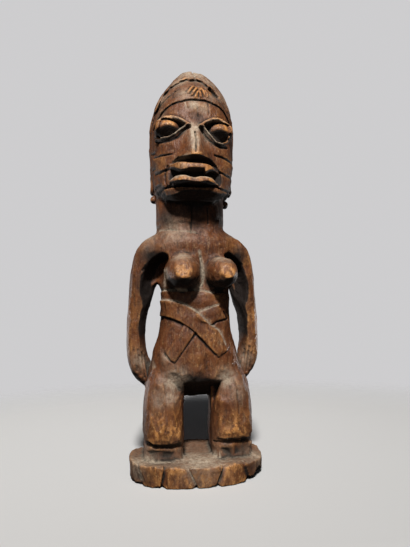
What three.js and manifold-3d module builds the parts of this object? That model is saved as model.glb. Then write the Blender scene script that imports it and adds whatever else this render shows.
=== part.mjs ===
// A woman kneeling on a low oval base, carved with her base from one block of dark wood.
// Millimetres, +Z up, front towards -Y. The origin is the middle of the base's flat underside.
// The body is built from lofts, whose rings are ovals with their own reach to the left, right, front
// and back. Bands, lids and hair are the same lofts a little larger, cut by an outline, and grooves
// are the same lofts a little smaller, so all the carving follows the form that carries it.

import * as THREE from 'three';
import { LoftGeometry } from 'three/addons/geometries/LoftGeometry.js';
import { mergeVertices } from 'three/addons/utils/BufferGeometryUtils.js';
import Module from 'manifold-3d';

const wasm = await Module();
wasm.setup();

// Driving dimensions

const BASE = { halfWidth: 49.5, halfDepth: 37, thickness: 14, square: 2.35, edge: 1.6 };
const BASE_FACETS = 22;
const [HEAD_SIDES, HEAD_STEPS] = [30, 15];
const [TORSO_SIDES, TORSO_STEPS] = [26, 12];
const FRONT_REACH = 70; // how far cutting shapes run past the figure
const EYE = { apart: 17.2, z: 253, halfWidth: 11.6, rise: 8.4, fall: 7.6, rim: 2.1, proud: 1.6, droop: 5 };
const NOSE = { x: -1.7, root: 256, tip: 228.4, halfBase: 14.2, reach: 44.5 };
const MOUTH = { x: -3.2, halfWidth: 17.6, reach: 43, top: 222, bottom: 207.6 };
const SCAR = { depth: 1.1, width: 1.5 };
const BAND = 1.3; // how far the bands on the body stand proud
const HAIR = 1.1;
const CAP = 2.3;
const GAP = { frontTop: 66.5, backTop: 48.5 };

// Rings of each loft: height, then the reach to the left, right, front and back, how square it is, and
// how far it is set back

const TORSO = [
  [50, 34, 35, 8, 26, 2.5],
  [60, 36.5, 37.5, 16, 29, 2.6],
  [70, 36.5, 37.5, 22, 29, 2.6],
  [80, 34.8, 35.2, 23.2, 26.5, 2.6],
  [90, 32.4, 31.6, 23.2, 23, 2.7],
  [102, 28.2, 28.2, 22.8, 20.5, 2.8],
  [114, 26.4, 27.2, 22.2, 20, 2.9],
  [126, 25.8, 26.6, 22, 20, 2.9],
  [138, 28, 28, 22.4, 20.5, 2.7],
  [148, 34, 33.4, 23, 21.5, 2.5],
  [160, 36.2, 35.4, 23, 21.8, 2.4],
  [168, 36, 35, 23, 21.5, 2.3],
  [175, 32.5, 31, 21.8, 21, 2.2],
  [181, 29, 27, 18.6, 20.5, 2.2],
];

const NECK = [
  [170, 30, 27, 20, 20, 2.2],
  [184, 29.8, 25.2, 20.4, 21, 2.2],
  [198, 29.6, 25, 22, 23, 2.2],
  [212, 29.4, 25.4, 23, 25, 2.2],
];

const HEAD = [
  [198, 27.5, 26.5, 36, 26, 2.4],
  [205, 29, 28.4, 37.4, 28, 2.4],
  [211, 30.4, 29.6, 36.6, 29.6, 2.45],
  [220, 32, 31.4, 35, 32, 2.5],
  [232, 33, 32.8, 33.8, 34.5, 2.5],
  [244, 33.2, 33, 33.4, 36.2, 2.45],
  [256, 32.9, 32.7, 33.8, 37, 2.4],
  [266, 32.1, 32.2, 33.6, 36.8, 2.3],
  [275, 30.5, 31, 31.6, 35.6, 2.25],
  [284, 27.8, 29.2, 28, 33.2, 2.2],
  [293, 23.8, 26.2, 24, 29.2, 2.15, 0.6],
  [301, 19.2, 22.2, 19.4, 24, 2.1, 1.5],
  [308, 14.6, 18, 15.2, 18.4, 2.05, 3],
  [314, 10, 13.4, 10.4, 12.6, 2, 4.6],
  [318, 6.2, 9, 6, 7.6, 2, 6],
  [320, 2.6, 4.4, 2.2, 3.6, 2, 6.6],
].map((row) => [...row, 0].slice(0, 7));

const LEFT_LEG = { middle: -24.8, half: 15.2 };
const RIGHT_LEG = { middle: 25.4, half: 16 };
const LEG = [
  [12, 0.97, 20, 32.6, 3.2],
  [22, 0.98, 21, 33, 3.1],
  [30, 1, 24, 32, 3],
  [42, 0.99, 24.6, 28, 2.9],
  [54, 0.96, 23.6, 26.4, 2.8],
  [66, 0.87, 21, 25, 2.6],
  [76, 0.72, 16.5, 20, 2.4],
];

// The arm's middle line, and its half width seen from the front and from the side

const ARM = [
  [8, 1.5, 167, 15.5, 18],
  [19, 2, 167.5, 15.5, 18],
  [30, 3, 162, 15, 16.5],
  [35.8, 4, 153.6, 12.6, 14.2],
  [38.8, 4.5, 143.5, 11.3, 12.8],
  [41, 5.5, 131, 9.8, 11.5],
  [44.1, 6, 115, 7.9, 10.2],
  [44.9, 6.5, 98, 7.6, 9.6],
  [43.2, 7.5, 84, 8.4, 10],
  [39.6, 9.5, 73.5, 8.4, 10.4],
  [35, 12, 66, 6.6, 9],
];

// The hollow between arm and breast, closed at the back
const ARMPIT = { x: 31.6, y: -18, z: 144.5, wide: 7.8, deep: 19, tall: 16, lean: 22 };

// Lofts

// A row of numbers that runs smoothly through the given rows, whose first number is the place.
function smoothRows(rows, key = 0) {
  const places = rows.map((row) => row[key]);
  const curve = new THREE.CubicInterpolant(places, rows.flat(), rows[0].length);
  return (place) => Array.from(curve.evaluate(THREE.MathUtils.clamp(place, places[0], places.at(-1))));
}

// x and y of a ring's point, swept as an oval with four reaches.
function ringPoint(angle, [, left, right, front, back, square, setBack = 0]) {
  const [c, s] = [Math.cos(angle), Math.sin(angle)];
  const bend = (v) => Math.sign(v) * Math.abs(v) ** (2 / square);
  return [bend(c) * (c < 0 ? left : right), bend(s) * (s < 0 ? front : back) + setBack];
}

function loftOf(rings, sides, steps, grow = 0) {
  const at = smoothRows(rings);
  const [low, high] = [rings[0][0], rings.at(-1)[0]];
  const sections = [];
  for (let i = 0; i <= steps; i++) {
    const z = THREE.MathUtils.lerp(low, high, i / steps);
    const row = at(z).map((v, k) => (k >= 1 && k <= 4 ? Math.max(0.8, v + grow) : v));
    sections.push(
      Array.from({ length: sides }, (_, j) => {
        const [x, y] = ringPoint((j / sides) * Math.PI * 2, row);
        return new THREE.Vector3(x, y, z);
      }),
    );
  }
  return solid(new LoftGeometry(sections, { capStart: true, capEnd: true }));
}

// How far forward a loft's front reaches at x and z.
function frontOf(rings) {
  const at = smoothRows(rings);
  return (x, z) => {
    const [, left, right, front, , square] = at(z);
    const share = Math.min(1, Math.abs(x) / (x < 0 ? left : right));
    return -front * (1 - share ** square) ** (1 / square);
  };
}

// Solids, joins and cuts

function solid(geometry) {
  const bare = geometry.index ? geometry.toNonIndexed() : geometry.clone();
  bare.deleteAttribute('normal');
  bare.deleteAttribute('uv');
  const merged = mergeVertices(bare, 1e-4);
  const faces = [];
  const index = merged.index.array;
  for (let i = 0; i < index.length; i += 3) {
    const [a, b, c] = [index[i], index[i + 1], index[i + 2]];
    if (a !== b && b !== c && c !== a) faces.push(a, b, c);
  }
  const make = (triVerts) =>
    new wasm.Manifold(
      new wasm.Mesh({
        numProp: 3,
        vertProperties: merged.attributes.position.array,
        triVerts: new Uint32Array(triVerts),
      }),
    );
  const made = make(faces);
  return made.volume() >= 0 ? made : make(faces.reverse());
}

const joined = (...solids) => solids.reduce((all, next) => all.add(next));

function box(width, depth, height, x, y, z, turn = [0, 0, 0]) {
  const geometry = new THREE.BoxGeometry(width, depth, height);
  const place = new THREE.Matrix4().makeRotationFromEuler(new THREE.Euler(...turn));
  return solid(geometry.applyMatrix4(place.setPosition(x, y, z)));
}

function ellipsoid([x, y, z], [rx, ry, rz], around = 14, up = 8) {
  return solid(new THREE.SphereGeometry(1, around, up).scale(rx, ry, rz).translate(x, y, z));
}

// An outline drawn in x and z, as seen from the front, pushed through the front half.
function frontPrism(points, from = -FRONT_REACH, to = 0) {
  const shape = new THREE.Shape(points.map(([x, z]) => new THREE.Vector2(x, z)));
  const geometry = new THREE.ExtrudeGeometry(shape, { depth: to - from, bevelEnabled: false });
  geometry.rotateX(Math.PI / 2).translate(0, to, 0);
  return solid(geometry);
}

// An outline drawn in y and z, as seen from the side, pushed through from left to right.
function sidePrism(points, left = -FRONT_REACH, right = FRONT_REACH) {
  const shape = new THREE.Shape(points.map(([y, z]) => new THREE.Vector2(y, z)));
  const geometry = new THREE.ExtrudeGeometry(shape, { depth: right - left, bevelEnabled: false });
  geometry.rotateX(Math.PI / 2).rotateZ(Math.PI / 2).translate(left, 0, 0);
  return solid(geometry);
}

// Base: an oval slab whose wall is cut in flat chops, with a narrow worn edge above and below

function baseSlab() {
  const outline = (shrink) =>
    Array.from({ length: BASE_FACETS }, (_, i) => {
      const angle = ((i + 0.35 * Math.sin(i * 2.4)) / BASE_FACETS) * Math.PI * 2;
      const chop = 0.55 * Math.sin(i * 4.1) - shrink;
      const reach = [0, BASE.halfWidth, BASE.halfWidth, BASE.halfDepth, BASE.halfDepth, BASE.square];
      const [x, y] = ringPoint(angle, reach.map((v, k) => (k >= 1 && k <= 4 ? v + chop : v)));
      return [x, y - 1];
    });
  const levels = [[0, BASE.edge], [BASE.edge, 0], [BASE.thickness - BASE.edge, 0], [BASE.thickness, BASE.edge]];
  const sections = levels.map(([z, shrink]) => outline(shrink).map(([x, y]) => new THREE.Vector3(x, y, z)));
  return solid(new LoftGeometry(sections, { capStart: true, capEnd: true }));
}

// Legs: the folded leg is one block from knee to sole, and grooves part thigh, shin and foot

// The inner side of a leg is upright, and its outer side rounds in towards the hip.
function leg({ middle, half }, grow = 0) {
  const rings = LEG.map(([z, share, front, back, square]) => {
    const [left, right] = middle < 0 ? [half * share, half] : [half, half * share];
    return [z, left, right, front, back, square, 0];
  });
  return loftOf(rings, 20, 8, grow).translate(middle, 0, 0);
}

const KNEE = { z: 25.2, slant: 0.7, width: 2.4, depth: 2.2 };

function kneeGrooves() {
  const cuts = [LEFT_LEG, RIGHT_LEG].map((side) => {
    const outwards = Math.sign(side.middle);
    const front = box(2 * side.half + 4, 16, KNEE.width, side.middle, -20, KNEE.z + outwards * KNEE.slant);
    const rise = THREE.MathUtils.degToRad(27);
    const outer = box(12, 44, KNEE.width, side.middle + outwards * (side.half + 1), 5, KNEE.z + 8, [rise, 0, 0]);
    return front.add(outer).subtract(leg(side, -KNEE.depth));
  });
  return joined(...cuts);
}

function buttocks() {
  const [left, right] = [-1, 1].map((side) => ellipsoid([side * 16.5 + 1, 13, 65], [19, 20, 18], 12, 8));
  return left.add(right);
}

// The opening between the legs runs through to the back, where it is lower and a little to the right
function legGap() {
  const rows = [
    [FRONT_REACH, -1.8, 15, GAP.backTop],
    [30, -5.6, 12.4, GAP.backTop],
    [-21, -9.9, 9.4, GAP.frontTop],
    [-FRONT_REACH, -9.9, 9.4, GAP.frontTop],
  ];
  const sections = rows.map(([y, left, right, top]) =>
    [[left, BASE.thickness], [right, BASE.thickness], [right, top], [left, top]].map(
      ([x, z]) => new THREE.Vector3(x, y, z),
    ),
  );
  const shaft = solid(new LoftGeometry(sections, { capStart: true, capEnd: true }));
  const flare = [[7, 38], [10.4, 54], [16.6, GAP.frontTop], [7, GAP.frontTop]];
  return shaft.add(frontPrism(flare, -FRONT_REACH, -13));
}

// Arms

function arm(side) {
  const points = ARM.map(([x, y, z]) => new THREE.Vector3(side * x + (side > 0 ? -0.9 : 0), y, z));
  const path = new THREE.CatmullRomCurve3(points, false, 'centripetal');
  const widths = smoothRows(ARM.map(([, , , wide, deep], i) => [i / (ARM.length - 1), wide, deep]));
  const [steps, sides] = [13, 12];
  const sections = [];
  for (let i = 0; i <= steps; i++) {
    const t = i / steps;
    const middle = path.getPoint(t);
    const along = path.getTangent(t);
    const deepwards = new THREE.Vector3(0, 1, 0).addScaledVector(along, -along.y).normalize();
    const across = new THREE.Vector3().crossVectors(deepwards, along);
    const [, wide, deep] = widths(t);
    sections.push(
      Array.from({ length: sides }, (_, j) => {
        const angle = (j / sides) * Math.PI * 2;
        return middle
          .clone()
          .addScaledVector(across, wide * Math.cos(angle))
          .addScaledVector(deepwards, deep * Math.sin(angle));
      }),
    );
  }
  return solid(new LoftGeometry(sections, { capStart: true, capEnd: true }));
}

function armpits() {
  const { x, y, z, wide, deep, tall, lean } = ARMPIT;
  const hollow = ellipsoid([0, 0, 0], [wide, deep, tall], 12, 8);
  const [left, right] = [-1, 1].map((side) => hollow.rotate([0, -side * lean, 0]).translate([side * x, y, z]));
  return left.add(right);
}

// Breasts: blunt cones that point forwards and a little outwards

function breast(x, z, half, tipX) {
  const rows = [
    [-14, half, half * 1.12],
    [-26, half * 0.97, half * 1.06],
    [-33, half * 0.72, half * 0.78],
    [-37.5, half * 0.44, half * 0.46],
    [-39.5, half * 0.2, half * 0.2],
  ];
  const sections = rows.map(([y, wide, tall], i) => {
    const lean = i / (rows.length - 1);
    return Array.from({ length: 14 }, (_, j) => {
      const angle = (j / 14) * Math.PI * 2;
      return new THREE.Vector3(
        THREE.MathUtils.lerp(x, tipX, lean) + wide * Math.cos(angle),
        y,
        z - 2.5 * lean + tall * Math.sin(angle),
      );
    });
  });
  return solid(new LoftGeometry(sections, { capStart: true, capEnd: true }));
}

// Bands on the body: a belt under the breasts and two strips that cross over the belly

// Corners as seen from the front: the strip on top, and the two ends of the one beneath it
const TOP_STRIP = [
  [-34, 126.4], [-27.6, 126], [-11, 122.1], [5.6, 109.7], [23.4, 89.4],
  [17.4, 83.6], [-2.2, 101.4], [-14.2, 111], [-27.7, 113.6], [-34, 113.6],
];
const UNDER_STRIP_RIGHT = [[-1, 117], [13.5, 125], [25, 122.4], [25.4, 114.4], [11, 106.5]];
const UNDER_STRIP_LEFT = [[0, 104.5], [-24.8, 86.1], [-17.5, 79.5], [5, 96.5]];

function bodyBands() {
  const proud = loftOf(TORSO, TORSO_SIDES, TORSO_STEPS, BAND);
  const over = loftOf(TORSO, TORSO_SIDES, TORSO_STEPS, BAND * 1.6);
  const belt = proud.intersect(box(90, 90, 7, 0, 0, 129.4));
  const under = frontPrism(UNDER_STRIP_RIGHT).add(frontPrism(UNDER_STRIP_LEFT));
  return joined(belt, proud.intersect(under), over.intersect(frontPrism(TOP_STRIP)));
}

// Head: face, eyes, nose, mouth, scars, hair and ears

const headFront = frontOf(HEAD);

function almond(side, grow = 0) {
  const droop = THREE.MathUtils.degToRad(EYE.droop) * side;
  const [cx, cz] = [NOSE.x + side * EYE.apart, EYE.z];
  const count = 20;
  return Array.from({ length: count }, (_, i) => {
    const angle = (i / count) * Math.PI * 2;
    const [c, s] = [Math.cos(angle), Math.sin(angle)];
    const x = (EYE.halfWidth + grow) * c;
    const lift = Math.abs(s) ** 1.15 * Math.sign(s);
    const z = lift * (s > 0 ? EYE.rise + grow : EYE.fall + grow);
    return [cx + x * Math.cos(droop) + z * Math.sin(droop), cz - x * Math.sin(droop) + z * Math.cos(droop)];
  });
}

function eyes() {
  const proud = loftOf(HEAD, HEAD_SIDES, HEAD_STEPS, EYE.proud);
  return [-1, 1].map((side) => {
    const [x, z] = [NOSE.x + side * EYE.apart, EYE.z - 0.6];
    const rim = frontPrism(almond(side, EYE.rim));
    const socket = frontPrism(almond(side));
    const ball = ellipsoid([x, headFront(x, z) + 4.4, z], [EYE.halfWidth - 1.4, 7.2, EYE.rise - 1.2]);
    return { rim: rim.intersect(proud), socket, ball };
  });
}

function nose() {
  const rows = [
    [NOSE.root + 4, 4.4, 30],
    [NOSE.root - 3, 5.4, 36.4],
    [NOSE.root - 14, 8, 40.8],
    [NOSE.tip + 4, 11.6, NOSE.reach - 0.6],
    [NOSE.tip, NOSE.halfBase, NOSE.reach],
  ];
  const sections = rows.map(([z, half, reach], i) => {
    const back = -headFront(0, z) - 6;
    const blunt = 2.4 + 0.9 * i;
    const plan = [
      [-half, back], [half, back], [half, back + 4.5], [half * 0.86, back + 7], [blunt, reach], [-blunt, reach],
      [-half * 0.86, back + 7], [-half, back + 4.5],
    ];
    return plan.map(([x, y]) => new THREE.Vector3(NOSE.x + x, -y, z));
  });
  return solid(new LoftGeometry(sections, { capStart: true, capEnd: true }));
}

// The lips are one mass that bulges in plan, and three slots part it
function mouth() {
  const plan = Array.from({ length: 15 }, (_, i) => {
    const angle = (i / 14) * Math.PI;
    const x = -MOUTH.halfWidth * Math.cos(angle);
    return [x, -26 - (MOUTH.reach - 26) * Math.sin(angle) ** 0.6];
  });
  const levels = [[MOUTH.bottom, 0.9], [MOUTH.bottom + 2, 1], [MOUTH.top - 2, 1], [MOUTH.top, 0.9]];
  const sections = levels.map(([z, share]) =>
    plan.map(([x, y]) => new THREE.Vector3(MOUTH.x + x * share, -26 + (y + 26) * share, z)),
  );
  return solid(new LoftGeometry(sections, { capStart: true, capEnd: true }));
}

// A slot seen from the front, as a shallow arch that is deepest in the middle.
function faceSlot(x, z, halfWidth, height, arch, inwards) {
  const [count, edge] = [8, []];
  for (let i = 0; i <= count; i++) {
    const t = -1 + (2 * i) / count;
    edge.push([x + halfWidth * t, z + arch * (1 - t * t) + (height / 2) * (1 - t ** 6)]);
  }
  for (let i = count; i >= 0; i--) {
    const t = -1 + (2 * i) / count;
    edge.push([x + halfWidth * t, z + arch * (1 - t * t) - (height / 2) * (1 - t ** 6) - 0.1]);
  }
  return frontPrism(edge, -FRONT_REACH, -inwards);
}

function faceSlots() {
  return joined(
    faceSlot(NOSE.x, 224.4, 15.5, 4, 1, 32),
    faceSlot(MOUTH.x, 214.2, 16.4, 4.4, 0.6, 31),
    faceSlot(MOUTH.x, 206, 17.6, 2, 0.3, 34.5),
    box(1.2, 16, 15, NOSE.x + 0.4, -NOSE.reach + 2.4, 240, [THREE.MathUtils.degToRad(-15), 0, 0]),
  );
}

// Three scars on each cheek, cut a little way into the head: side, height by the nose, height by the ear
const SCARS = [
  [-1, 232.6, 242], [-1, 219.4, 228.6], [-1, 208.6, 212.4], [1, 234.2, 239.4], [1, 222.6, 224.8], [1, 210.2, 211.6],
];

function cheekScars() {
  const core = loftOf(HEAD, HEAD_SIDES, HEAD_STEPS, -SCAR.depth);
  const cuts = SCARS.map(([side, near, far]) => {
    const slope = Math.atan2(far - near, 32);
    return box(22, 36, SCAR.width, side * 28.5, -20, (near + far) / 2, [slope, 0, 0]);
  });
  return joined(...cuts).subtract(core);
}

function hair() {
  const line = [[-FRONT_REACH, 279], [-29, 277.8], [-23, 272], [-13, 265], [-6, 251], [1, 232], [4, 218], [8, 211], [26, 207]];
  const hairSide = [...line, [FRONT_REACH, 207], [FRONT_REACH, 330], [-FRONT_REACH, 330]];
  const rim = [[-22, 300.6], [-14, 293], [-10.5, 284], [-7, 270], [-1, 252], [6, 234], [10, 222], [14, 214]];
  const capSide = [[-22, 330], ...rim, [FRONT_REACH, 212], [FRONT_REACH, 330]];
  const coarse = loftOf(HEAD, HEAD_SIDES, HEAD_STEPS, HAIR).intersect(sidePrism(hairSide));
  const cap = loftOf(HEAD, HEAD_SIDES, HEAD_STEPS, CAP).intersect(sidePrism(capSide));
  return coarse.add(cap);
}

function ear(side) {
  const x = side * 31.6 - 0.6;
  const shell = ellipsoid([x, 6, 221], [3.4, 4.6, 8.6], 12, 8);
  const hollow = ellipsoid([x + side * 3.4, 6, 222], [3, 2.6, 5.6], 10, 7);
  const lobe = ellipsoid([side * 29 - 2.2, 3, 207 - side * 1.4], [4, 4.2, 4.4], 10, 7);
  return shell.subtract(hollow).add(lobe);
}

// The whole figure

function figureSolid() {
  const trunk = joined(
    loftOf(TORSO, TORSO_SIDES, TORSO_STEPS),
    loftOf(NECK, 24, 3),
    leg(LEFT_LEG),
    leg(RIGHT_LEG),
    buttocks(),
    arm(-1),
    arm(1),
  ).subtract(armpits());
  const body = joined(trunk, breast(-9.8, 147, 14, -9.7), breast(16, 146.6, 12.6, 20), bodyBands());
  const eyePair = eyes();
  const socketFloor = loftOf(HEAD, HEAD_SIDES, HEAD_STEPS, -2.6);
  const jaw = sidePrism([[-FRONT_REACH, 190], [FRONT_REACH, 190], [FRONT_REACH, 214], [0, 210.4], [-30, 204.4], [-FRONT_REACH, 203.4]]);
  let head = joined(loftOf(HEAD, HEAD_SIDES, HEAD_STEPS), ...eyePair.map((eye) => eye.rim)).subtract(jaw);
  head = head.subtract(joined(...eyePair.map((eye) => eye.socket)).subtract(socketFloor));
  head = joined(head, ...eyePair.map((eye) => eye.ball), nose(), mouth());
  head = head.subtract(faceSlots()).subtract(cheekScars());
  head = joined(head, hair(), ear(-1), ear(1));
  const crown = box(1.6, 60, 30, 0.8, 6, 332);
  return joined(body, head)
    .subtract(legGap())
    .subtract(kneeGrooves())
    .subtract(crown)
    .add(baseSlab());
}

// The one solid body, without the crumbs that two nearly touching faces can leave in a join.
function withoutCrumbs(made) {
  return made.decompose().reduce((best, next) => (next.volume() > best.volume() ? next : best));
}

function geometryOf(made) {
  const mesh = made.getMesh();
  const geometry = new THREE.BufferGeometry();
  geometry.setAttribute('position', new THREE.BufferAttribute(new Float32Array(mesh.vertProperties), 3));
  geometry.setIndex(new THREE.BufferAttribute(new Uint32Array(mesh.triVerts), 1));
  geometry.computeVertexNormals();
  return geometry;
}

const wood = new THREE.MeshStandardMaterial({ color: 0x5a3a22, roughness: 0.6, metalness: 0 });
const figure = new THREE.Mesh(geometryOf(withoutCrumbs(figureSolid())), wood);
figure.name = 'kneeling_figure';

const group = new THREE.Group();
group.add(figure);

export default group;
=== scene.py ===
"""A woman kneeling on a low oval base, carved in one block of dark wood.

The wood is carved here as a distance field on a fine grid: first the big masses, then the face and the
bands, then the marks of the adze and the knife, and the drying cracks. Carving is in millimetres, +Z up,
front towards -Y, and right is towards +X, as seen from the front. The surface is then drawn out as one
closed mesh in metres, and given a worn wood finish.
"""

import math
from itertools import product

import bmesh
import bpy
import numpy as np
from mathutils import Matrix, Vector


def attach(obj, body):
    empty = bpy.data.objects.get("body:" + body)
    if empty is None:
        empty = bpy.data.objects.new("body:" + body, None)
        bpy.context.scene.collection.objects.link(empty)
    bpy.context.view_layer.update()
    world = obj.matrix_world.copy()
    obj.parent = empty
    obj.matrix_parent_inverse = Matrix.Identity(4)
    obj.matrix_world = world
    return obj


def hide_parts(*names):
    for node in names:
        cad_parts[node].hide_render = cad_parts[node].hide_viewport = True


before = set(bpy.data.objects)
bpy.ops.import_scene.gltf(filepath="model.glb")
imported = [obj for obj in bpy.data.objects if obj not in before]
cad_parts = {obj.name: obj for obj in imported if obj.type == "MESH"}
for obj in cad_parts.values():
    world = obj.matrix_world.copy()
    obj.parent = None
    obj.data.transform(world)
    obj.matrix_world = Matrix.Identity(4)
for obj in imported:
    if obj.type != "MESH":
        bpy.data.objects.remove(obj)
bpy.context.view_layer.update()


# The block of wood

PER_METRE = 1000
PITCH = 0.66  # the grid's step
LOW = (-54.6, -46.4, -1.6)
HIGH = (53.4, 41.4, 321.8)
AXES = [np.arange(low, high, PITCH, dtype=np.float32) for low, high in zip(LOW, HIGH)]
GRID_START = np.array([axis[0] for axis in AXES])
# Distance from each grid point to the surface, below 0 inside the wood
wood = np.full([len(axis) for axis in AXES], 6.0, dtype=np.float32)
rng = np.random.default_rng(27)


class Window:
    """The part of the grid between two corners, with its coordinates."""

    def __init__(self, low, high):
        cuts = []
        for axis, a, b in zip(AXES, low, high):
            first = int(np.searchsorted(axis, a))
            last = max(first + 1, int(np.searchsorted(axis, b)))
            cuts.append(slice(first, last))
        self.cut = tuple(cuts)
        self.x = AXES[0][cuts[0]][:, None, None]
        self.y = AXES[1][cuts[1]][None, :, None]
        self.z = AXES[2][cuts[2]][None, None, :]

    @property
    def field(self):
        return wood[self.cut]

    def put(self, field):
        wood[self.cut] = field

    def join(self, distance, soft=0.0):
        """Adds wood."""
        self.put(soft_min(self.field, distance, soft))

    def carve(self, distance, soft=0.0):
        """Takes wood away."""
        self.put(soft_max(self.field, -distance, soft))

    def push(self, depth):
        """Moves the surface inwards by depth."""
        self.put(self.field + depth)


def soft_min(a, b, soft):
    """The smaller of two distances, rounded where they are less than soft apart."""
    if soft <= 0:
        return np.minimum(a, b)
    blend = np.maximum(soft - np.abs(a - b), 0) / soft
    return np.minimum(a, b) - blend * blend * soft / 4


def soft_max(a, b, soft):
    return -soft_min(-a, -b, soft)


def ease(low, high, value):
    """0 at low and 1 at high, with a smooth step between."""
    t = np.clip((value - low) / (high - low), 0, 1)
    return t * t * (3 - 2 * t)


# Forms


def smooth_rows(rows, place):
    """Values between the rows, whose first number is the place, on a smooth curve through them."""
    rows = np.array(rows, dtype=float)
    keys, values = rows[:, 0], rows[:, 1:]
    slopes = np.diff(values, axis=0) / np.diff(keys)[:, None]
    tangents = np.vstack([slopes[:1], (slopes[1:] + slopes[:-1]) / 2, slopes[-1:]])
    place = np.clip(place, keys[0], keys[-1])
    i = np.clip(np.searchsorted(keys, place, side="right") - 1, 0, len(keys) - 2)
    step = keys[i + 1] - keys[i]
    t = ((place - keys[i]) / step)[..., None]
    a, b = values[i], values[i + 1]
    ma, mb = tangents[i] * step[..., None], tangents[i + 1] * step[..., None]
    curve = (
        a * (2 * t**3 - 3 * t**2 + 1)
        + ma * (t**3 - 2 * t**2 + t)
        + b * (3 * t**2 - 2 * t**3)
        + mb * (t**3 - t**2)
    )
    return [curve[..., k].astype(np.float32) for k in range(values.shape[1])]


def ring_distance(rows, win, shift=0.0):
    """Distance to a stack of ovals.

    A row is one oval: height, reach to the left, right, front and back, squareness and set-back.
    """
    x = win.x - shift
    left, right, front, back, square, set_back = smooth_rows(rows, win.z)
    y = win.y - set_back
    across = np.abs(x) / np.where(x < 0, left, right)
    along = np.abs(y) / np.where(y < 0, front, back)
    share = (across**square + along**square) ** (1 / square)
    reach = np.sqrt(x * x + y * y)
    distance = reach * (1 - 1 / np.maximum(share, 1e-2))
    beyond = np.maximum(rows[0][0] - win.z, win.z - rows[-1][0])
    return np.maximum(distance, beyond)


def true_distance(distance):
    """Corrects a distance that grows too fast or too slowly away from the surface."""
    slopes = np.gradient(distance, PITCH)
    steep = np.sqrt(sum(slope * slope for slope in slopes))
    return (distance / np.clip(steep, 0.35, 3)).astype(np.float32)


def egg_distance(win, middle, radii):
    """Distance to an egg with three radii."""
    offsets = [win.x - middle[0], win.y - middle[1], win.z - middle[2]]
    near = np.sqrt(sum((o / r) ** 2 for o, r in zip(offsets, radii)))
    far = np.sqrt(sum((o / (r * r)) ** 2 for o, r in zip(offsets, radii)))
    return near * (near - 1) / np.maximum(far, 1e-4)


def limb_distance(win, points, rounded=1.0):
    """Distance to a limb through points of x, y, z, half width and half depth.

    Its section is squarer where rounded is less.
    """
    points = np.array(points, dtype=float)
    fine = np.linspace(0, len(points) - 1, 3 * len(points))
    rows = np.column_stack([np.arange(len(points)), points])
    stations = np.stack(smooth_rows(rows, fine), axis=1)
    best = np.full(win.field.shape, 99.0, dtype=np.float32)
    for start, end in zip(stations[:-1], stations[1:]):
        run = end[:3] - start[:3]
        length = float(np.linalg.norm(run))
        way = run / length
        deep = np.array([0, 1, 0]) - way * way[1]
        deep /= np.linalg.norm(deep)
        wide = np.cross(deep, way)
        px, py, pz = win.x - start[0], win.y - start[1], win.z - start[2]
        t = np.clip((px * way[0] + py * way[1] + pz * way[2]) / length, 0, 1)
        cx, cy, cz = px - t * run[0], py - t * run[1], pz - t * run[2]
        half_wide = start[3] + (end[3] - start[3]) * t
        half_deep = start[4] + (end[4] - start[4]) * t
        a = ((cx * wide[0] + cy * wide[1] + cz * wide[2]) / half_wide) ** 2
        b = ((cx * deep[0] + cy * deep[1] + cz * deep[2]) / half_deep) ** 2
        c = ((cx * way[0] + cy * way[1] + cz * way[2]) / half_wide) ** 2
        share = np.sqrt(np.sqrt(a * a + b * b + 2 * rounded * a * b) + c)
        best = np.minimum(best, (share - 1) * np.minimum(half_wide, half_deep))
    return best


# Lines and outlines seen from the front


def height_over_x(line, win):
    """Height of a line in x and z, over a window."""
    return np.interp(win.x.ravel(), *zip(*line))[:, None, None]


def height_over_y(line, win):
    """The same for a line in y and z."""
    return np.interp(win.y.ravel(), *zip(*line))[None, :, None]


def line_distance(points, x, z):
    """Distance to a line through points in x and z."""
    best = np.full(np.broadcast_shapes(x.shape, z.shape), 99.0, dtype=np.float32)
    for (ax, az), (bx, bz) in zip(points[:-1], points[1:]):
        dx, dz = bx - ax, bz - az
        t = np.clip(((x - ax) * dx + (z - az) * dz) / (dx * dx + dz * dz), 0, 1)
        best = np.minimum(best, np.hypot(x - ax - t * dx, z - az - t * dz))
    return best


def outline_distance(points, x, z):
    """Distance to a closed outline in x and z, below 0 inside."""
    inside = np.zeros(np.broadcast_shapes(x.shape, z.shape), dtype=bool)
    closed = list(points) + [points[0]]
    for (ax, az), (bx, bz) in zip(closed[:-1], closed[1:]):
        if az == bz:
            continue
        spans = (az > z) != (bz > z)
        inside ^= spans & (x < ax + (z - az) / (bz - az) * (bx - ax))
    distance = line_distance(closed, x, z)
    return np.where(inside, -distance, distance)


def around(points, margin, y_low, y_high):
    """The window that holds points in x and z, with a margin."""
    xs, zs = zip(*points)
    return Window((min(xs) - margin, y_low, min(zs) - margin), (max(xs) + margin, y_high, max(zs) + margin))


def in_front(win, y_high):
    """1 in front, dying out over the last 3 mm before y_high."""
    return ease(y_high, y_high - 3, win.y)


def front_groove(points, width, depth, y_high=0.0, y_low=LOW[1]):
    """A groove with sloping sides, cut into the front along a line."""
    win = around(points, width, y_low, y_high)
    off = line_distance(points, win.x, win.z)
    win.push(depth * np.clip(1.35 - 1.35 * off / (width / 2), 0, 1) * in_front(win, y_high))


def side_groove(points, width, depth, side):
    """The same on one side, along a line in y and z."""
    ys, zs = zip(*points)
    x_low, x_high = (8.0, 60.0) if side > 0 else (-60.0, -8.0)
    win = Window((x_low, min(ys) - width, min(zs) - width), (x_high, max(ys) + width, max(zs) + width))
    off = line_distance(points, win.y, win.z)
    win.push(depth * np.clip(1 - off / (width / 2), 0, 1))


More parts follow.
